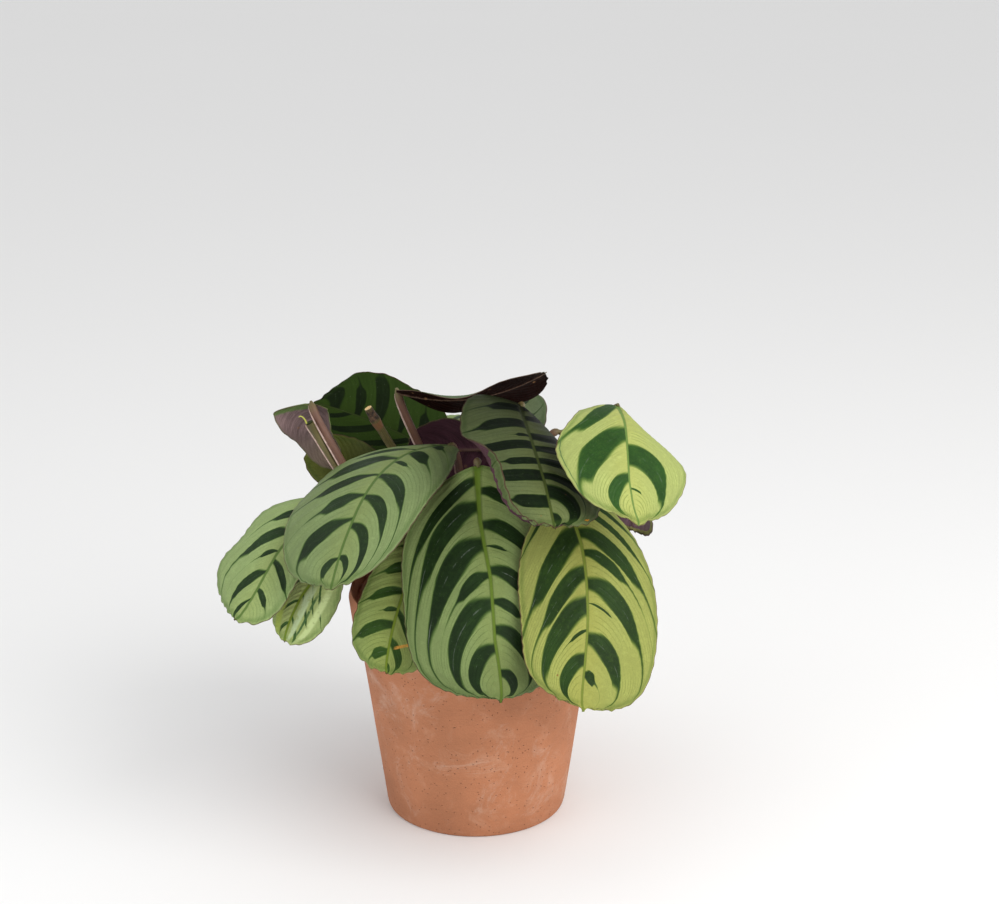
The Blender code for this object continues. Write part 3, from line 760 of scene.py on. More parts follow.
class Finish:
    """A procedural material in the making."""

    def __init__(self, name, specular=0.5):
        self.material = bpy.data.materials.new(name)
        self.material.use_nodes = True
        self.tree = self.material.node_tree
        self.shader = self.tree.nodes["Principled BSDF"].inputs
        self.shader["Specular IOR Level"].default_value = specular
        self.colour = None

    def node(self, kind, settings=None, sockets=None, output=0):
        """Adds a node, sets it up, fills its sockets and gives one of its outputs."""
        made = self.tree.nodes.new("ShaderNode" + kind)
        for name, value in (settings or {}).items():
            if name == "stops":
                self.set_stops(made.color_ramp, value)
            else:
                setattr(made, name, value)
        for key, value in (sockets or {}).items():
            self.fill(made.inputs[key], value)
        return Value(self, made.outputs[output])

    def fill(self, socket, value):
        """Links a value to a socket, or sets the socket to a number, vector or colour."""
        if isinstance(value, Value):
            self.tree.links.new(value.socket, socket)
        elif socket.type == "RGBA":
            socket.default_value = (*value[:3], 1.0)
        else:
            socket.default_value = value

    @staticmethod
    def set_stops(ramp, stops):
        """Gives a colour ramp its stops of (position, colour)."""
        while len(ramp.elements) > 1:
            ramp.elements.remove(ramp.elements[-1])
        for i, (position, colour) in enumerate(sorted(stops)):
            element = ramp.elements[0] if i == 0 else ramp.elements.new(position)
            element.position = position
            element.color = (*colour, 1.0)

    def mix(self, factor, low, high):
        """The colour low where the factor is 0, and high where it is 1."""
        return self.node("Mix", {"data_type": "RGBA"}, {0: factor, 6: low, 7: high}, 2)

    def begin(self, factor, low, high):
        """Starts the finish's colour as a mix of two."""
        self.colour = self.mix(factor, low, high)

    def over(self, mask, colour):
        """Lays a colour over the finish's colour where the mask is 1."""
        self.colour = self.mix(mask, self.colour, colour)

    def ramp(self, value, stops):
        """A colour ramp of a value."""
        return self.node("ValToRGB", {"stops": stops}, {0: value})

    def curve(self, value, stops):
        """A number that follows (position, number) stops, as a grey colour ramp's red."""
        grey = self.ramp(value, [(position, (number,) * 3) for position, number in stops])
        return self.parts(grey)[0]

    def parts(self, vector):
        """The three numbers of a colour or a vector."""
        kind = "SeparateColor" if vector.socket.type == "RGBA" else "SeparateXYZ"
        made = self.node(kind, {}, {0: vector})
        return [Value(self, output) for output in made.socket.node.outputs]

    def attribute(self, name):
        """A vector that the mesh holds for each corner."""
        return self.node("Attribute", {"attribute_name": name}, {}, 1)

    def numbers(self, name):
        """The three numbers of a vector that the mesh holds for each corner."""
        return self.parts(self.attribute(name))

    def place(self):
        """The point's place on the object, in metres."""
        return self.node("TexCoord", {}, {}, "Object")

    def stretch(self, vector, scale):
        """A vector multiplied by another, axis by axis."""
        return self.node("VectorMath", {"operation": "MULTIPLY"}, {0: vector, 1: scale})

    def vector(self, x, y, z):
        """A vector from three numbers or values."""
        return self.node("CombineXYZ", {}, {0: x, 1: y, 2: z})

    def noise(self, vector, scale, detail=3.0, roughness=0.55, distortion=0.0):
        """Fractal noise from 0 to 1."""
        return self.node("TexNoise", {}, {"Vector": vector, "Scale": scale, "Detail": detail,
                                          "Roughness": roughness, "Distortion": distortion})

    def spots(self, vector, scale, low, high):
        """Round spots: 1 in a cell's middle, 0 outside."""
        cells = self.node("TexVoronoi", {"feature": "F1"}, {"Vector": vector, "Scale": scale})
        return 1 - cells.ease(low, high)

    def paint(self, roughness, height=None, depth=0.0004):
        """Joins the colour, the roughness and the relief to the shader, and gives the material."""
        self.fill(self.shader["Base Color"], self.colour)
        self.fill(self.shader["Roughness"], roughness)
        if height is not None:
            bump = self.node("Bump", {}, {"Height": height, "Distance": depth, "Strength": 1.0})
            self.fill(self.shader["Normal"], bump)
        return self.material


STRIPE_BODY = (
    (0.0, 1.0), (0.48, 1.0), (0.55, 0.9), (0.60, 0.68), (0.645, 0.42), (0.685, 0.26),
    (0.74, 0.17), (0.87, 0.12), (1.0, 0.0),
)
STRIPE_OPENS = 0.36
TAIL_SHARE = 1.55
RAMP_FROM, RAMP_TO = -0.3, 1.05


def stripe_stops(half):
    """Ramp stops along the midrib. Red peaks at each stripe's middle, and green is its reach."""
    stops = []
    last = RAMP_FROM
    for start, width, reach in sorted(half.stripes):
        low, high = max(start - width, last + 0.0005), start + width
        for value, red in ((low, 0.0), (start, 1.0), (high, 0.0)):
            stops.append(((value - RAMP_FROM) / (RAMP_TO - RAMP_FROM), (red, reach, 0.0)))
        last = high
    return stops


def leaf_coordinates(finish, pattern):
    """Share out from the midrib, share along it, the right half's mask and the vein coordinate."""
    u, t, _ = finish.numbers("place")
    right = u > 0.0
    (power, base, growth), (power_2, base_2, growth_2) = pattern.left.veins, pattern.right.veins
    power = power + right * (power_2 - power)
    swept = base + right * (base_2 - base) + t * (growth + right * (growth_2 - growth))
    return u, t, right, t - abs(u) ** power * swept


def stripe_mask(finish, pattern, a, right, veins):
    """How deep a point lies inside a stripe, from below 0 outside to 1 on its middle line."""
    jitter = finish.noise(finish.vector(veins * 90.0, a * 6.0, right * 7.0), 1.0, 3.0)
    shaken = veins + (jitter - 0.5) * 0.008
    along = (shaken - RAMP_FROM) / (RAMP_TO - RAMP_FROM)
    left_stops, right_stops = (stripe_stops(half) for half in (pattern.left, pattern.right))
    chosen = finish.mix(right, finish.ramp(along, left_stops), finish.ramp(along, right_stops))
    peak, reach, _ = finish.parts(chosen)
    heads = pattern.left.head + right * (pattern.right.head - pattern.left.head)
    out = a / (reach * TAIL_SHARE)
    opening = heads + (1 - heads) * out.ease(0.0, STRIPE_OPENS)
    width = finish.curve(out, STRIPE_BODY) * opening
    outside = 1 - peak.ease(0.0, 0.12)
    return peak - 1.0 + width - outside * 0.3, peak


def leaf_upper(leaf, brightness):
    """The upper side: a light ground, dark stripes along the side veins and a green midrib."""
    pattern = pattern_of(leaf.name)
    finish = Finish("leaf_" + leaf.name, pattern.shine)
    u, t, right, veins = leaf_coordinates(finish, pattern)
    a = abs(u)
    inside, peak = stripe_mask(finish, pattern, a, right, veins)
    from_rib, edge, _ = finish.numbers("reach")
    from_rib = abs(from_rib)
    seed = (sum(map(ord, leaf.name)) % 17) * 0.37
    place = finish.node("VectorMath", {"operation": "ADD"},
                        {0: finish.place(), 1: (seed, seed, 0.0)})
    cloud = finish.noise(place, 45.0)
    grain = finish.noise(place, 1500.0, 2.0)
    fine = finish.noise(place, 420.0, 4.0)

    ground = Vector(pattern.ground) * brightness
    halo = ground * Vector((0.2, 0.36, 0.14)) + Vector((0.012, 0.02, 0.003))
    finish.begin(cloud.ease(0.3, 0.7), ground * 0.9, ground * 1.1)
    finish.over((1 - from_rib.ease(0.0, 16.0)) * 0.45, ground * Vector((1.12, 1.0, 0.72)))
    finish.over(grain.ease(0.35, 0.75) * 0.45, ground * 0.72)
    finish.over(fine.ease(0.5, 0.75) * 0.35, ground * 1.3)
    lines = (veins * (TURN * 36.0) + cloud * 7.0).sine()
    lines = lines.ease(0.86, 1.0) * a.ease(0.02, 0.12) * cloud.ease(0.35, 0.6)
    finish.over(lines * pattern.vein_strength, halo)
    shadow = (veins * (TURN * 9.0) + cloud * 4.0).sine().ease(-0.4, 1.0) * a.ease(0.5, 1.0)
    finish.over(shadow * 0.3, ground * 0.62)

    stripe = Vector(pattern.stripe) * brightness
    finish.over(inside.ease(-0.18, 0.12) * 0.85, halo)
    dark = finish.mix(cloud.ease(0.35, 0.7), stripe * 0.75, stripe * 1.4)
    dark = finish.mix(grain.ease(0.4, 0.8) * 0.4, dark, stripe * 1.8)
    dark = finish.mix(fine.ease(0.45, 0.8) * 0.15, dark, halo)
    finish.over(inside.ease(-0.07, 0.23), dark)
    broken = finish.noise(finish.vector(veins * 14.0, a * 9.0, seed), 1.0, 4.0, 0.75)
    scratch = peak.ease(0.93, 0.99) * broken.ease(0.46, 0.66) * a.ease(0.06, 0.2)
    finish.over(scratch * inside.ease(0.1, 0.3) * (pattern.scratches * 0.7), (0.22, 0.27, 0.22))

    width = pattern.rib_width * (0.45 + (1 - t) * 0.3 + (1 - t) ** 8.0 * 0.75)
    rib = Vector(pattern.rib)
    finish.over((1 - from_rib.ease(width, width * 2.0)) * 0.6, rib * 0.4)
    finish.over(1 - from_rib.ease(width * 0.7, width * 1.25), finish.mix(fine, rib * 0.75, rib))

    beside_rim = edge.ease(0.7, 1.6) * (1 - edge.ease(1.8, 4.0)) * cloud.ease(0.25, 0.55)
    finish.over(beside_rim * 0.4, halo)
    rim = 1 - edge.ease(0.2, 0.6)
    finish.over(rim * cloud.ease(0.25, 0.5) * 0.85, (0.085, 0.035, 0.028))
    specks = finish.spots(place, 150.0, 0.05, 0.09) * cloud.ease(0.6, 0.66)
    finish.over(specks * 0.8, (0.25, 0.10, 0.03))
    dust = finish.spots(place, 900.0, 0.05, 0.12) * fine.ease(0.5, 0.62)
    finish.over(dust * 0.3, (0.45, 0.48, 0.42))

    for from_u, from_t, to_u, to_t, width, mark in pattern.marks:
        length = math.hypot(to_u - from_u, to_t - from_t)
        across, down = (to_u - from_u) / length, (to_t - from_t) / length
        along = (u - from_u) * (across / length) + (t - from_t) * (down / length)
        off = abs((u - from_u) * down - (t - from_t) * across)
        inner = along.ease(-0.1, 0.15) * (1 - along.ease(0.85, 1.1))
        inner = inner * (1 - off.ease(width * 0.4, width))
        finish.over(inner * fine.ease(0.2, 0.5), mark)
    # Painted shade: darkens the colour towards black along the blade, from the light left at the
    # base to the light left at the tip.
    if pattern.shade != (1, 1):
        black = (0.0, 0.0, 0.0)
        finish.begin(t, *(finish.mix(1.0 - light, finish.colour, black) for light in pattern.shade))

    height = fine * 0.25 + grain * 0.12 + lines * -0.35 + inside.ease(0.0, 0.4) * -0.25
    return finish.paint(0.50 + grain * 0.16, height, 0.00035)


RIMS_BENEATH = {
    "purple": (0.10, 0.11, 0.04),
    "mauve": (0.10, 0.11, 0.04),
    "maroon": (0.035, 0.014, 0.012),
    "lilac": (0.08, 0.03, 0.025),
}


def leaf_beneath(kind, colour):
    """The underside: dull purple with paler veins."""
    finish = Finish("underside_" + kind, 0.03 if kind == "maroon" else 0.12)
    u, t, _ = finish.numbers("place")
    from_rib, edge, _ = finish.numbers("reach")
    a = abs(u)
    veins = t - a ** 1.7 * (0.2 + t * 0.42)
    place = finish.place()
    cloud = finish.noise(place, 60.0)
    fine = finish.noise(place, 600.0)
    base = Vector(colour)
    finish.begin(cloud.ease(0.3, 0.7), base * 0.8, base * 1.2)
    bands = (veins * (TURN * 6.5)).sine().ease(-0.2, 0.8) * (1 - a.ease(0.5, 0.9))
    finish.over(bands * 0.5, base * 0.55)
    lines = (veins * (TURN * 42.0) + cloud * 4.0).sine().ease(0.75, 1.0)
    finish.over(lines * 0.35, base * 1.7)
    finish.over(fine.ease(0.45, 0.8) * 0.35, base * 1.5)
    finish.over((1 - abs(from_rib).ease(0.5, 1.2)) * 0.7, (0.16, 0.10, 0.07))
    tan = finish.spots(place, 170.0, 0.1, 0.2) * cloud.ease(0.5, 0.6)
    finish.over(tan * 0.6, (0.32, 0.17, 0.08))
    if kind == "mauve":
        finish.over(t.ease(0.3, 0.85) * 0.6, (0.15, 0.125, 0.07))
        turned = (1 - t.ease(0.075, 0.105)) * (u > 0.1)
        finish.over(turned * 0.9, finish.mix(fine, (0.07, 0.12, 0.03), (0.13, 0.21, 0.06)))
    if kind == "lilac":
        finish.over(edge.ease(0.5, 0.8) * (1 - edge.ease(2.2, 2.8)) * 0.9, (0.42, 0.46, 0.14))
    finish.over((1 - edge.ease(0.3, 0.9)) * 0.6, RIMS_BENEATH[kind])
    return finish.paint(0.45 + fine * 0.2, lines * 0.6 + fine * 0.3)


def stalk_finish(name, colour, tip_colour):
    """A satin stalk, streaked lengthwise, that changes colour towards its blade."""
    finish = Finish(name, 0.4)
    place = finish.attribute("place")
    share, _, _ = finish.numbers("reach")
    streaks = finish.noise(finish.stretch(place, (1.0, 1.0, 0.05)), 1.8, 4.0, 0.6)
    cloud = finish.noise(place, 0.12)
    base = Vector(colour)
    finish.begin(share.ease(0.93, 1.0), base, tip_colour)
    finish.over(streaks.ease(0.3, 0.75) * 0.6, base * 0.55)
    finish.over(cloud.ease(0.5, 0.75) * 0.5, base * Vector((1.25, 1.5, 1.0)))
    dots = finish.spots(finish.stretch(place, (1.0, 1.0, 0.6)), 0.9, 0.12, 0.2)
    finish.over(dots * 0.4, base * 0.4)
    return finish.paint(0.38 + streaks * 0.2, streaks * 0.6 + cloud * 0.2)


def stub_finish(colour):
    """The olive stub: an orange-brown scar and a dark, knobbly node below the cut."""
    finish = Finish("cut_stub", 0.25)
    place = finish.attribute("place")
    share, _, _ = finish.numbers("reach")
    cloud = finish.noise(place, 0.5, 4.0, 0.65)
    streaks = finish.noise(finish.stretch(place, (1.0, 1.0, 0.08)), 1.6, 4.0, 0.6)
    finish.begin(streaks.ease(0.3, 0.7), colour * 0.45, colour * 0.95)
    shaken = share + (cloud - 0.5) * 0.02
    scar = shaken.ease(0.895, 0.905) * (1 - shaken.ease(0.93, 0.94))
    finish.over(scar * 0.8, (0.17, 0.075, 0.035))
    node = shaken.ease(0.935, 0.95) * (1 - shaken.ease(0.985, 0.995) * 0.5)
    finish.over(node, finish.mix(cloud.ease(0.4, 0.65), (0.018, 0.012, 0.008), (0.10, 0.055, 0.03)))
    return finish.paint(0.6, streaks * 0.5 + cloud * 0.6, 0.0008)


def paper_finish():
    """The dry, pale edge of a leaf sheath."""
    finish = Finish("sheath_edge")
    place = finish.stretch(finish.attribute("place"), (1.0, 1.0, 0.15))
    fibres = finish.noise(place, 2.5, 4.0, 0.65)
    finish.begin(fibres.ease(0.3, 0.7), (0.42, 0.27, 0.23), (0.68, 0.52, 0.46))
    return finish.paint(0.6 + fibres * 0.2, fibres, 0.0003)


def cut_finish():
    """The dried face of a cut stem, with a ring of darker vessels."""
    finish = Finish("cut_face")
    x, y, _ = finish.numbers("place")
    out = (x * x + y * y) ** 0.5
    pith = finish.noise(finish.place(), 2500.0)
    finish.begin(pith.ease(0.3, 0.7), (0.62, 0.40, 0.16), (0.86, 0.66, 0.34))
    ring = out.ease(0.25, 0.45) * (1 - out.ease(0.6, 0.8))
    finish.over(ring * 0.5, (0.50, 0.24, 0.07))
    finish.over((1 - out.ease(0.0, 0.22)) * 0.8, (0.20, 0.09, 0.03))
    finish.over(out.ease(0.86, 1.0), (0.09, 0.05, 0.03))
    return finish.paint(0.75, pith - ring * 0.5)


def soil_finish(colour):
    """Dark, damp potting mix."""
    finish = Finish("potting_mix", 0.25)
    place = finish.place()
    coarse = finish.noise(place, 180.0, 5.0, 0.7)
    fine = finish.noise(place, 1100.0, 4.0, 0.7)
    base = Vector(colour)
    finish.begin(coarse.ease(0.3, 0.7), base * 0.55, base * 1.6)
    finish.over(fine.ease(0.55, 0.7) * 0.6, (0.11, 0.075, 0.045))
    fibres = finish.noise(finish.stretch(place, (1.0, 0.2, 1.0)), 700.0)
    finish.over(fibres.ease(0.64, 0.7) * 0.5, (0.15, 0.10, 0.06))
    return finish.paint(0.75 + fine * 0.2, coarse * 0.7 + fine * 0.5, 0.0012)


def bark_finish():
    """Broken bark and wood fibre in the soil."""
    finish = Finish("bark_bits")
    place = finish.place()
    grain = finish.noise(finish.stretch(place, (0.3, 1.0, 1.0)), 900.0, 4.0, 0.7)
    finish.begin(grain.ease(0.3, 0.7), (0.045, 0.025, 0.015), (0.16, 0.09, 0.05))
    finish.over(finish.noise(place, 120.0, 2.0).ease(0.55, 0.7) * 0.6, (0.22, 0.15, 0.09))
    return finish.paint(0.7 + grain * 0.25, grain, 0.0008)


def terracotta_finish(colour):
    """Matt fired clay with mottling, turning lines and a faint chalky bloom."""
    finish = Finish("terracotta", 0.3)
    place = finish.place()
    _, _, z = finish.parts(place)
    cloud = finish.noise(place, 22.0, 4.0, 0.6)
    blotch = finish.noise(place, 75.0, 5.0, 0.65, 0.6)
    grain = finish.noise(place, 1400.0, 3.0, 0.7)
    turning = finish.noise(finish.vector(0.0, 0.0, z * 900.0), 1.0, 3.0, 0.6)
    base = Vector(colour)
    finish.begin(cloud.ease(0.3, 0.7), base * 0.86, base * 1.12)
    finish.over(blotch.ease(0.5, 0.8) * 0.45, (0.62, 0.36, 0.24))
    finish.over(turning.ease(0.5, 0.8) * 0.2, base * 0.7)
    bloom = finish.noise(place, 34.0, 6.0, 0.75, 1.2).ease(0.52, 0.72)
    finish.over(bloom * 0.28, (0.72, 0.58, 0.48))
    finish.over((1 - (z + cloud * 0.03).ease(0.012, 0.05)) * 0.25, base * 0.6)
    pores = finish.spots(place, 420.0, 0.08, 0.16)
    finish.over(pores * 0.6, base * 0.35)
    finish.over(grain.ease(0.4, 0.7) * 0.25, base * 1.25)
    height = grain * 0.3 + turning * 0.35 + blotch * 0.3 - pores * 0.6
    return finish.paint(0.78 + grain * 0.14, height, 0.0006)


def floor_finish(colour):
    """A pale, even studio floor."""
    finish = Finish("pale_floor", 0.2)
    finish.begin(finish.noise(finish.place(), 1.5, 2.0), Vector(colour) * 0.985, colour)
    return finish.paint(0.8)


# Settings


def number_setting(name, description, default, low=0.0, high=1.0, **kind):
    """A number property, a length unless another kind is given."""
    kind = kind or {"unit": "LENGTH", "subtype": "DISTANCE"}
    return bpy.props.FloatProperty(name=name, description=description, default=default, min=low,
                                   max=high, **kind)


def colour_setting(name, description, *default):
    """A colour property."""
    return bpy.props.FloatVectorProperty(name=name, description=description, default=default,
                                         size=3, min=0.0, max=1.0, subtype="COLOR")


class PotSettings(bpy.types.PropertyGroup):
    """The pot's sizes and colour."""

    height: number_setting("Height", "Height of the pot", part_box("pot")[1].z)
    rim_radius: number_setting("Rim radius", "Outer radius of the rim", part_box("pot")[1].x)
    base_radius: number_setting("Base radius", "Outer radius of the foot", 0.046)
    wall: number_setting("Wall", "Thickness of the wall", 0.004)
    band: number_setting("Rim band", "Height of the thicker band at the rim", 0.020)
    colour: colour_setting("Clay", "Colour of the fired clay", 0.44, 0.18, 0.09)


class SoilSettings(bpy.types.PropertyGroup):
    """The soil's level and colour."""

    level: number_setting("Level", "Height of the soil at the pot's wall", 0.106)
    mound: number_setting("Mound", "How much higher the soil is in the middle", 0.002)
    crumbs: bpy.props.IntProperty(name="Crumbs", description="Number of loose lumps", default=420,
                                  min=0, max=2000)
    colour: colour_setting("Soil", "Colour of the damp soil", 0.032, 0.022, 0.015)


class LeafSettings(bpy.types.PropertyGroup):
    """The blades' thickness and colours."""

    thickness: number_setting("Thickness", "Thickness of a blade", 0.00055)
    brightness: number_setting("Brightness", "Brightness of the light green ground", 0.76, 0.2, 2.0,
                               subtype="FACTOR")
    beneath: colour_setting("Underside", "Colour of the undersides", 0.075, 0.030, 0.042)
    pale_beneath: colour_setting("Pale underside", "Underside of the upright left leaf",
                                 0.20, 0.135, 0.135)
    light_beneath: colour_setting("Light underside", "Underside of the leaf behind the pale one",
                                  0.26, 0.165, 0.215)
    # Painted shade: the crown leaf's maroon underside is darkened almost to black, for the deep
    # shade that it lies in.
    shaded_beneath: colour_setting("Dark underside", "Underside of the crown leaf",
                                 0.015, 0.005, 0.004)


class StemSettings(bpy.types.PropertyGroup):
    """The stalks' colours."""

    colour: colour_setting("Stalk", "Colour of the stalks", 0.155, 0.070, 0.045)
    joint: colour_setting("Joint", "Colour of the joint below a blade", 0.13, 0.12, 0.035)
    olive: colour_setting("Old stem", "Colour of the cut and the dead stem", 0.13, 0.105, 0.035)


class StageSettings(bpy.types.PropertyGroup):
    """The floor, the light and the view."""

    colour: colour_setting("Floor", "Colour of the floor", 0.86, 0.86, 0.86)
    key: number_setting("Key light", "Power of the main soft light", 13.0, high=500.0, unit="POWER")
    fill: number_setting("Fill light", "Power of the weaker soft light", 3.0, high=500.0,
                         unit="POWER")
    sky: number_setting("Surroundings", "Strength of the white surroundings", 0.8, high=5.0,
                        subtype="FACTOR")
    elevation: number_setting("View height", "Angle that the view looks down", math.radians(18.0),
                              high=1.5, unit="ROTATION", subtype="ANGLE")
    distance: number_setting("View distance", "Distance of the camera from the plant", 1.15,
                             high=5.0)


# Pieces


def join_frame(piece, node):
    """Makes the piece ride on the root body and stand for its CAD node."""
    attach(piece, "root")
    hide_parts(node)


class CTENANTHE_OT_pot(bpy.types.Operator):
    """Builds the terracotta pot with its rolled rim and drain holes"""

    bl_idname = "ctenanthe.pot"
    bl_label = "Pot"

    def execute(self, context):
        settings = context.scene.ctenanthe_pot
        height, rim = settings.height / MM, settings.rim_radius / MM
        foot, wall, band_height = settings.base_radius / MM, settings.wall / MM, settings.band / MM
        step, floor_height, fillet = RIM_BAND_STEP, 6.0, 2.0
        taper = (rim - step - foot) / height

        def outer(z):
            return foot + taper * z

        def corner(x, z, radius, start, count=6):
            angles = np.radians(np.linspace(start, start + 90.0, count))
            return [(x + radius * math.cos(v), z + radius * math.sin(v)) for v in angles]

        band_foot = height - band_height
        profile = [(0.0, floor_height), (14.0, floor_height)]
        profile += corner(outer(floor_height) - wall - 3.0, floor_height + 3.0, 3.0, 270.0)
        profile += [(outer(z) - wall, z) for z in np.linspace(14.0, height - 4.0, 12)]
        profile += corner(outer(height) - wall + fillet, height - fillet, -fillet, 0.0)
        profile += corner(rim - RIM_ROUNDING, height - RIM_ROUNDING, RIM_ROUNDING, 90.0)[::-1]
        profile += [(outer(z) + step, z) for z in np.linspace(height - 4.0, band_foot + 2.5, 5)]
        profile += [(outer(band_foot) + step - 0.1, band_foot + 1.2),
                    (outer(band_foot) + step - 1.0, band_foot + 0.25),
                    (outer(band_foot) + 0.8, band_foot), (outer(band_foot) + 0.15, band_foot - 0.8)]
        profile += [(outer(z), z) for z in np.linspace(band_foot - 3.0, 3.0, 14)]
        profile += corner(foot - FOOT_ROUNDING, FOOT_ROUNDING, FOOT_ROUNDING, 270.0)[::-1]
        profile += [(14.0, 0.0), (0.0, 0.0)]

        def wobble(angles, z):
            return 0.12 * np.sin(3 * angles + 0.05 * z) + 0.05 * np.sin(7 * angles + 0.11 * z)

        shape = Shape()
        lathe(shape, profile[::-1], POT_STEPS, wobble)
        clay = terracotta_finish(settings.colour)
        pot = shape.piece("terracotta_pot", [clay], POT_SHARP_ANGLE)
        for angle in even_angles(DRAIN_HOLES) + math.pi / DRAIN_HOLES:
            place = Vector((math.cos(angle), math.sin(angle), 0.0)) * DRAIN_HOLE_RING * MM
            bpy.ops.mesh.primitive_cylinder_add(vertices=40, radius=DRAIN_HOLE_RADIUS * MM,
                                                depth=0.03, location=place, rotation=(0, 0, 0.06))
            cutter = context.active_object
            hole = pot.modifiers.new("Drain hole", "BOOLEAN")
            hole.operation, hole.object = "DIFFERENCE", cutter
            context.view_layer.objects.active = pot
            bpy.ops.object.modifier_apply(modifier=hole.name)
            bpy.data.objects.remove(cutter)
        cut = bmesh.new()
        cut.from_mesh(pot.data)
        bmesh.ops.remove_doubles(cut, verts=cut.verts, dist=0.02 * MM)
        bmesh.ops.dissolve_degenerate(cut, edges=cut.edges, dist=0.01 * MM)
        bmesh.ops.triangulate(cut, faces=[face for face in cut.faces if len(face.verts) > 4])
        cut.to_mesh(pot.data)
        cut.free()
        pot.data.set_sharp_from_angle(angle=math.radians(POT_SHARP_ANGLE))
        join_frame(pot, "pot")
        return {"FINISHED"}


def lump(draw, size, flat):
    """Corners and faces of one irregular crumb round the origin."""
    shape = bmesh.new()
    bmesh.ops.create_icosphere(shape, subdivisions=1, radius=1.0)
    turn = Matrix.Rotation(draw.uniform(0, 6.28), 3, "Z") @ Matrix.Rotation(
        draw.uniform(-0.5, 0.5), 3, "X")
    scale = size * Vector((draw.uniform(0.7, 1.2), draw.uniform(0.6, 1.0),
                           flat * draw.uniform(0.7, 1.1)))
    corners = [turn @ (corner.co * draw.uniform(0.78, 1.18) * scale) for corner in shape.verts]
    faces = [[v.index for v in face.verts] for face in shape.faces]
    shape.free()
    return np.array(corners), faces


class CTENANTHE_OT_soil(bpy.types.Operator):
    """Builds the potting mix with its crumbs and bits of bark"""

    bl_idname = "ctenanthe.soil"
    bl_label = "Soil"

    def execute(self, context):
        settings = context.scene.ctenanthe_soil
        pot = context.scene.ctenanthe_pot
        level, mound = settings.level / MM, settings.mound / MM
        wall, foot, rim = (v / MM for v in (pot.wall, pot.base_radius, pot.rim_radius))
        edge = foot + (rim - RIM_BAND_STEP - foot) * level / (pot.height / MM) - wall - 0.3
        under = level - 14.0
        draw = random.Random(5)

        def top(x, y):
            out = math.hypot(x, y) / edge
            rough = noise.fractal(Vector((x, y, 0.0)) * 0.09, 0.7, 2.1, 5)
            grains = noise.fractal(Vector((x, y, 3.0)) * 0.45, 0.8, 2.0, 3)
            return level + mound * (1.0 - out * out) + 0.9 * rough + 0.45 * grains

        rings, steps = 46, 150
        angles = even_angles(steps)
        corners = [((edge - 1.5) * math.cos(v), (edge - 1.5) * math.sin(v), under) for v in angles]
        for radius in edge * np.linspace(1.0, 0.02, rings) ** 0.9:
            ring = [(radius * math.cos(v), radius * math.sin(v)) for v in angles]
            corners += [(x, y, top(x, y)) for x, y in ring]
        faces = grid_faces(rings + 1, steps, closed=True)
        middle = len(corners)
        for j in range(steps):
            k = (j + 1) % steps
            faces += [(middle, rings * steps + j, rings * steps + k), (middle + 1, k, j)]
        shape = Shape()
        shape.add(corners + [(0.0, 0.0, top(0, 0)), (0.0, 0.0, under)], faces)

        def scatter(size, room, clear, flat, raised, slot):
            out = (edge - room) * math.sqrt(draw.random())
            angle = draw.uniform(0, TURN)
            x, y = out * math.cos(angle), out * math.sin(angle)
            if min(math.dist((x, y), stump) for stump in SHOOTS.values()) >= clear + size:
                lumps, sides = lump(draw, size, flat)
                shape.add(lumps + [x, y, top(x, y) + raised * size], sides, slot)

        for _ in range(settings.crumbs):
            size = 0.5 + 1.5 * draw.random() ** 2
            scatter(size, size + 0.4, 5.0, 0.7, 0.2, 0)
        for _ in range(settings.crumbs // 6):
            size = draw.uniform(1.4, 3.4)
            scatter(size, size * 1.3 + 0.5, 5.5, 0.3, 0.25, 1)
        soil = shape.piece("soil_surface", [soil_finish(settings.colour), bark_finish()], 45.0)
        join_frame(soil, "soil")
        return {"FINISHED"}


STALK, JOINT_OLIVE, PAPER, CUT_FACE, YELLOW, SHADED_MOUTH, STUB = range(7)
EDGED_TO_THE_TOP = ("left_purple", "crown")


def add_stalk(shape, leaf, draw):
    """A stalk with its swollen joint below the blade and its sheath's papery edge."""
    path = stalk_path(leaf)
    share = np.linspace(0.0, 1.0, len(path))
    radii = STALK_RADIUS + (STALK_TIP_RADIUS - STALK_RADIUS) * share
    radii = radii + 0.25 * np.exp(-((share - 0.93) / 0.045) ** 2)
    radii = radii * (1.0 - 0.35 * ease(0.965, 1.0, share))
    end = path[-1] + 1.2 * unit(path[-1] - path[-2])
    tube(shape, np.vstack([path, end]), np.append(radii, 0.7), 16, STALK, 0.03)
    count = len(path) - 1
    if leaf.name not in EDGED_TO_THE_TOP:
        count = int(len(path) * draw.uniform(0.72, 0.82))
    side = (-1.0, draw.uniform(-0.35, 0.1), 0.0)
    taper = ease(1.0, 0.85, np.linspace(0.0, 1.0, count))
    band(shape, path[:count], radii[:count] - 0.5, radii[:count] + 0.15 + 0.55 * taper, side, 0.3)
    sleeve = int(len(path) * draw.uniform(0.2, 0.34))
    grown = radii[:sleeve] + 0.5 * ease(1.0, 0.7, np.linspace(0.0, 1.0, sleeve))
    tube(shape, path[:sleeve], grown, 16, STALK, 0.02)


def bare_stem(stem, count):
    """A bare stem's centre line, with the share along it and the plain radius at each point."""
    path = stem_path(stem.shoot, stem.end, stem.heading, stem.handle, BARE_STEM_RISE, count)
    share = np.linspace(0.0, 1.0, count)
    return path, share, STALK_RADIUS + (stem.radius - STALK_RADIUS) * share


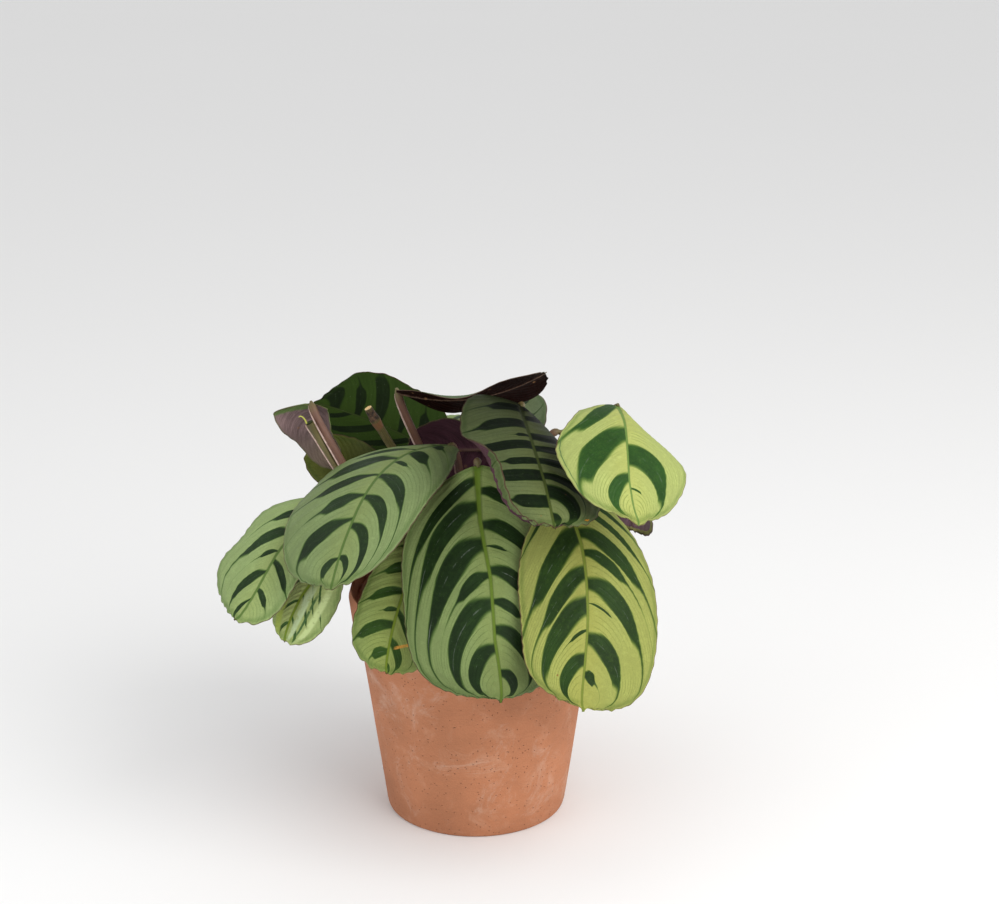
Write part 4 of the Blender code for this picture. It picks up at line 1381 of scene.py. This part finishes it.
def add_cut_stub(shape):
    """The stub of a removed stalk: a pale cut end above a dark, knobbly node."""
    path, share, radii = bare_stem(CUT_STUB, 80)
    left = (1.0 - share) * lengths_along(path)[-1]
    radii += 0.55 * np.exp(-((left - 6.5) / 2.2) ** 2) + 0.25 * np.exp(-((left - 9.5) / 1.0) ** 2)
    radii -= 0.15 * np.exp(-(left / 1.6) ** 2)
    tube(shape, path, radii, 20, STUB, 0.04)
    along, first, second = frames_along(path)
    angles = even_angles(20)
    round_places = np.stack([np.cos(angles), np.sin(angles), 0 * angles], axis=-1)
    ring = round_places[:, :1] * first[-1] + round_places[:, 1:2] * second[-1]
    rings, places = [], []
    for radius, raised in ((1.0, 0.02), (0.97, 0.28), (0.72, 0.34), (0.3, 0.22), (0.14, 0.05)):
        rings.append(path[-1] + radii[-1] * radius * ring + raised * along[-1])
        places.append(radius * round_places)
    shape.add(np.concatenate(rings), tube_faces(len(rings), 20), CUT_FACE, np.concatenate(places))


def add_old_sheath(shape):
    """A dead, half-open leaf sheath with a curled yellow end."""
    path, share, radii = bare_stem(OLD_SHEATH, 60)
    radii += 0.5 * ease(0.9, 1.0, share)
    tube(shape, path, radii, 16, JOINT_OLIVE, 0.05)
    along, _, _ = frames_along(path)
    tip = path[-1]
    left = np.array([-1.0, -0.2, 0.0])
    hook = bezier(tip + 1.5 * left, tip + 2.2 * left + [0, 0, 2.6], tip + 4.2 * left + [0, 0, 4.8],
                  tip + 5.2 * left + [0, -0.3, 3.4], 14)
    tube(shape, hook, np.linspace(0.75, 0.3, 14), 8, YELLOW, flatten=0.6)
    band(shape, path[8:], radii[8:] - 0.4, radii[8:] + 0.6, left)
    # Painted shade: a dark plug in the sheath's open end stands for the shade inside its hollow.
    mouth = np.array([tip + 0.6 * along[-1], tip - 0.2 * along[-1]])
    tube(shape, mouth, radii[-1] * np.array([0.95, 0.5]), 12, SHADED_MOUTH)


class CTENANTHE_OT_shoots(bpy.types.Operator):
    """Builds the shoots: bundles of sheathed stalks, the cut stub and the old sheath"""

    bl_idname = "ctenanthe.shoots"
    bl_label = "Shoots"

    def execute(self, context):
        settings = context.scene.ctenanthe_stems
        olive = Vector(settings.olive)
        finishes = [
            stalk_finish("stalk", settings.colour, settings.joint),
            stalk_finish("olive_stem", olive, olive * 0.6),
            paper_finish(),
            cut_finish(),
            stalk_finish("yellow_tip", (0.50, 0.52, 0.08), (0.42, 0.40, 0.10)),
            # Painted shade for the hollow of the old sheath's open end.
            stalk_finish("dark_mouth", (0.030, 0.040, 0.012), (0.03, 0.04, 0.012)),
            stub_finish(olive),
        ]
        heights = np.array([98.0, 106.0, 110.0, 114.0, 118.5, 121.0])
        radii = np.array([4.5, 4.7, 4.6, 4.2, 3.4, 2.2])
        for shoot, (x, y) in SHOOTS.items():
            draw = random.Random(shoot)
            shape = Shape()
            tube(shape, np.array([(x, y, height) for height in heights]), radii, 20, STALK, 0.04)
            for leaf in LEAVES:
                if leaf.shoot == shoot:
                    add_stalk(shape, leaf, draw)
            if shoot == CUT_STUB.shoot:
                add_cut_stub(shape)
            if shoot == OLD_SHEATH.shoot:
                add_old_sheath(shape)
            join_frame(shape.piece("stalks_" + shoot, finishes, 55.0), "shoot_" + shoot)
        return {"FINISHED"}


class CTENANTHE_OT_leaves(bpy.types.Operator):
    """Builds the leaf blades with their stripes, veins and purple undersides"""

    bl_idname = "ctenanthe.leaves"
    bl_label = "Leaf blades"

    def execute(self, context):
        settings = context.scene.ctenanthe_leaves
        beneath = {kind: leaf_beneath(kind, colour) for kind, colour in (
            ("purple", settings.beneath), ("mauve", settings.pale_beneath),
            ("maroon", settings.shaded_beneath), ("lilac", settings.light_beneath))}
        for leaf in LEAVES:
            grid, normal, u, t, flat, edge = blade_sheet(leaf, random.Random(leaf.name))
            thick = RIM_THINNESS + (1.0 - RIM_THINNESS) * ease(0.0, 3.0, edge)
            thick *= settings.thickness / MM
            rib = RIB_HEIGHT * np.exp(-(flat[..., 0] / RIB_WIDTH) ** 2) * (1.05 - t)
            upper = grid + (thick / 2)[..., None] * normal
            lower = grid - (thick / 2 + rib)[..., None] * normal
            rows, columns = grid.shape[:2]
            count = rows * columns
            faces = grid_faces(rows, columns, turned=True)
            under = [tuple(i + count for i in face[::-1]) for face in faces]
            number = np.arange(count).reshape(rows, columns)
            rim = np.concatenate([number[:, 0], number[-1, 1:], number[-2::-1, -1],
                                  number[0, -2:0:-1]])
            sides = [(this, last, last + count, this + count)
                     for this, last in zip(rim, np.roll(rim, 1))]
            corners = np.concatenate([upper.reshape(-1, 3), lower.reshape(-1, 3)])
            place = np.stack([u, t, 0 * u], axis=-1).reshape(-1, 3)
            reach = np.stack([flat[..., 0], edge, 0 * u], axis=-1).reshape(-1, 3)
            shape = Shape()
            shape.add(corners, faces + sides, 0, np.tile(place, (2, 1)), np.tile(reach, (2, 1)))
            shape.faces.extend(under)
            shape.slots.extend([1] * len(under))
            under_kind = pattern_of(leaf.name).beneath
            finishes = [leaf_upper(leaf, settings.brightness), beneath[under_kind]]
            piece = shape.piece("blade_" + leaf.name, finishes, 50.0)
            join_frame(piece, "leaf_" + leaf.name)
        return {"FINISHED"}


class CTENANTHE_OT_stage(bpy.types.Operator):
    """Builds the pale floor, the soft lights and the camera"""

    bl_idname = "ctenanthe.stage"
    bl_label = "Stage"

    def execute(self, context):
        settings = context.scene.ctenanthe_stage
        scene = context.scene
        mesh = bpy.data.meshes.new("floor")
        shape = bmesh.new()
        bmesh.ops.create_grid(shape, x_segments=8, y_segments=8, size=6.0)
        shape.to_mesh(mesh)
        shape.free()
        floor = bpy.data.objects.new("floor", mesh)
        mesh.materials.append(floor_finish(settings.colour))
        scene.collection.objects.link(floor)

        target = Vector(VIEW_TARGET)
        view = Vector((0.0, -math.cos(settings.elevation), math.sin(settings.elevation)))
        camera = bpy.data.objects.new("camera", bpy.data.cameras.new("camera"))
        camera.data.lens, camera.data.sensor_width = LENS, SENSOR_WIDTH
        camera.location = target + view * settings.distance
        camera.rotation_euler = (-view).to_track_quat("-Z", "Y").to_euler()
        scene.collection.objects.link(camera)
        scene.camera = camera

        lamps = (
            ("key_light", (0.75, -0.75, 0.95), 1.1, settings.key, (1.0, 0.985, 0.96)),
            ("fill_light", (-1.0, -0.7, 0.7), 1.0, settings.fill, (0.93, 0.97, 1.0)),
        )
        for name, place, size, power, colour in lamps:
            lamp = bpy.data.lights.new(name, "AREA")
            lamp.shape, lamp.size, lamp.energy, lamp.color = "DISK", size, power, colour
            holder = bpy.data.objects.new(name, lamp)
            holder.location = place
            holder.rotation_euler = (target - Vector(place)).to_track_quat("-Z", "Y").to_euler()
            scene.collection.objects.link(holder)

        world = bpy.data.worlds.new("white_surroundings")
        world.use_nodes = True
        background = world.node_tree.nodes["Background"]
        background.inputs["Color"].default_value = (1.0, 1.0, 1.0, 1.0)
        background.inputs["Strength"].default_value = settings.sky
        scene.world = world
        scene.view_settings.view_transform = "Standard"
        return {"FINISHED"}


GROUPS = (
    ("ctenanthe_stage", StageSettings, CTENANTHE_OT_stage),
    ("ctenanthe_pot", PotSettings, CTENANTHE_OT_pot),
    ("ctenanthe_soil", SoilSettings, CTENANTHE_OT_soil),
    ("ctenanthe_stems", StemSettings, CTENANTHE_OT_shoots),
    ("ctenanthe_leaves", LeafSettings, CTENANTHE_OT_leaves),
)


class CTENANTHE_PT_panel(bpy.types.Panel):
    """Lists the pieces' settings with their build buttons"""

    bl_label = "Ctenanthe"
    bl_idname = "CTENANTHE_PT_panel"
    bl_space_type = "VIEW_3D"
    bl_region_type = "UI"
    bl_category = "Ctenanthe"

    def draw(self, context):
        for name, settings_class, operator in GROUPS:
            box = self.layout.box()
            settings = getattr(context.scene, name)
            for field in settings_class.__annotations__:
                box.prop(settings, field)
            box.operator(operator.bl_idname)


def register():
    """Registers the settings, the operators and the panel."""
    for name, settings_class, operator in GROUPS:
        bpy.utils.register_class(settings_class)
        bpy.utils.register_class(operator)
        setattr(bpy.types.Scene, name, bpy.props.PointerProperty(type=settings_class))
    bpy.utils.register_class(CTENANTHE_PT_panel)


def unregister():
    """Takes back what register did."""
    bpy.utils.unregister_class(CTENANTHE_PT_panel)
    for name, settings_class, operator in reversed(GROUPS):
        delattr(bpy.types.Scene, name)
        bpy.utils.unregister_class(operator)
        bpy.utils.unregister_class(settings_class)


def main():
    """Builds every piece in order."""
    register()
    bpy.ops.ctenanthe.stage()
    bpy.ops.ctenanthe.pot()
    bpy.ops.ctenanthe.soil()
    bpy.ops.ctenanthe.shoots()
    bpy.ops.ctenanthe.leaves()


if __name__ == "__main__":
    main()
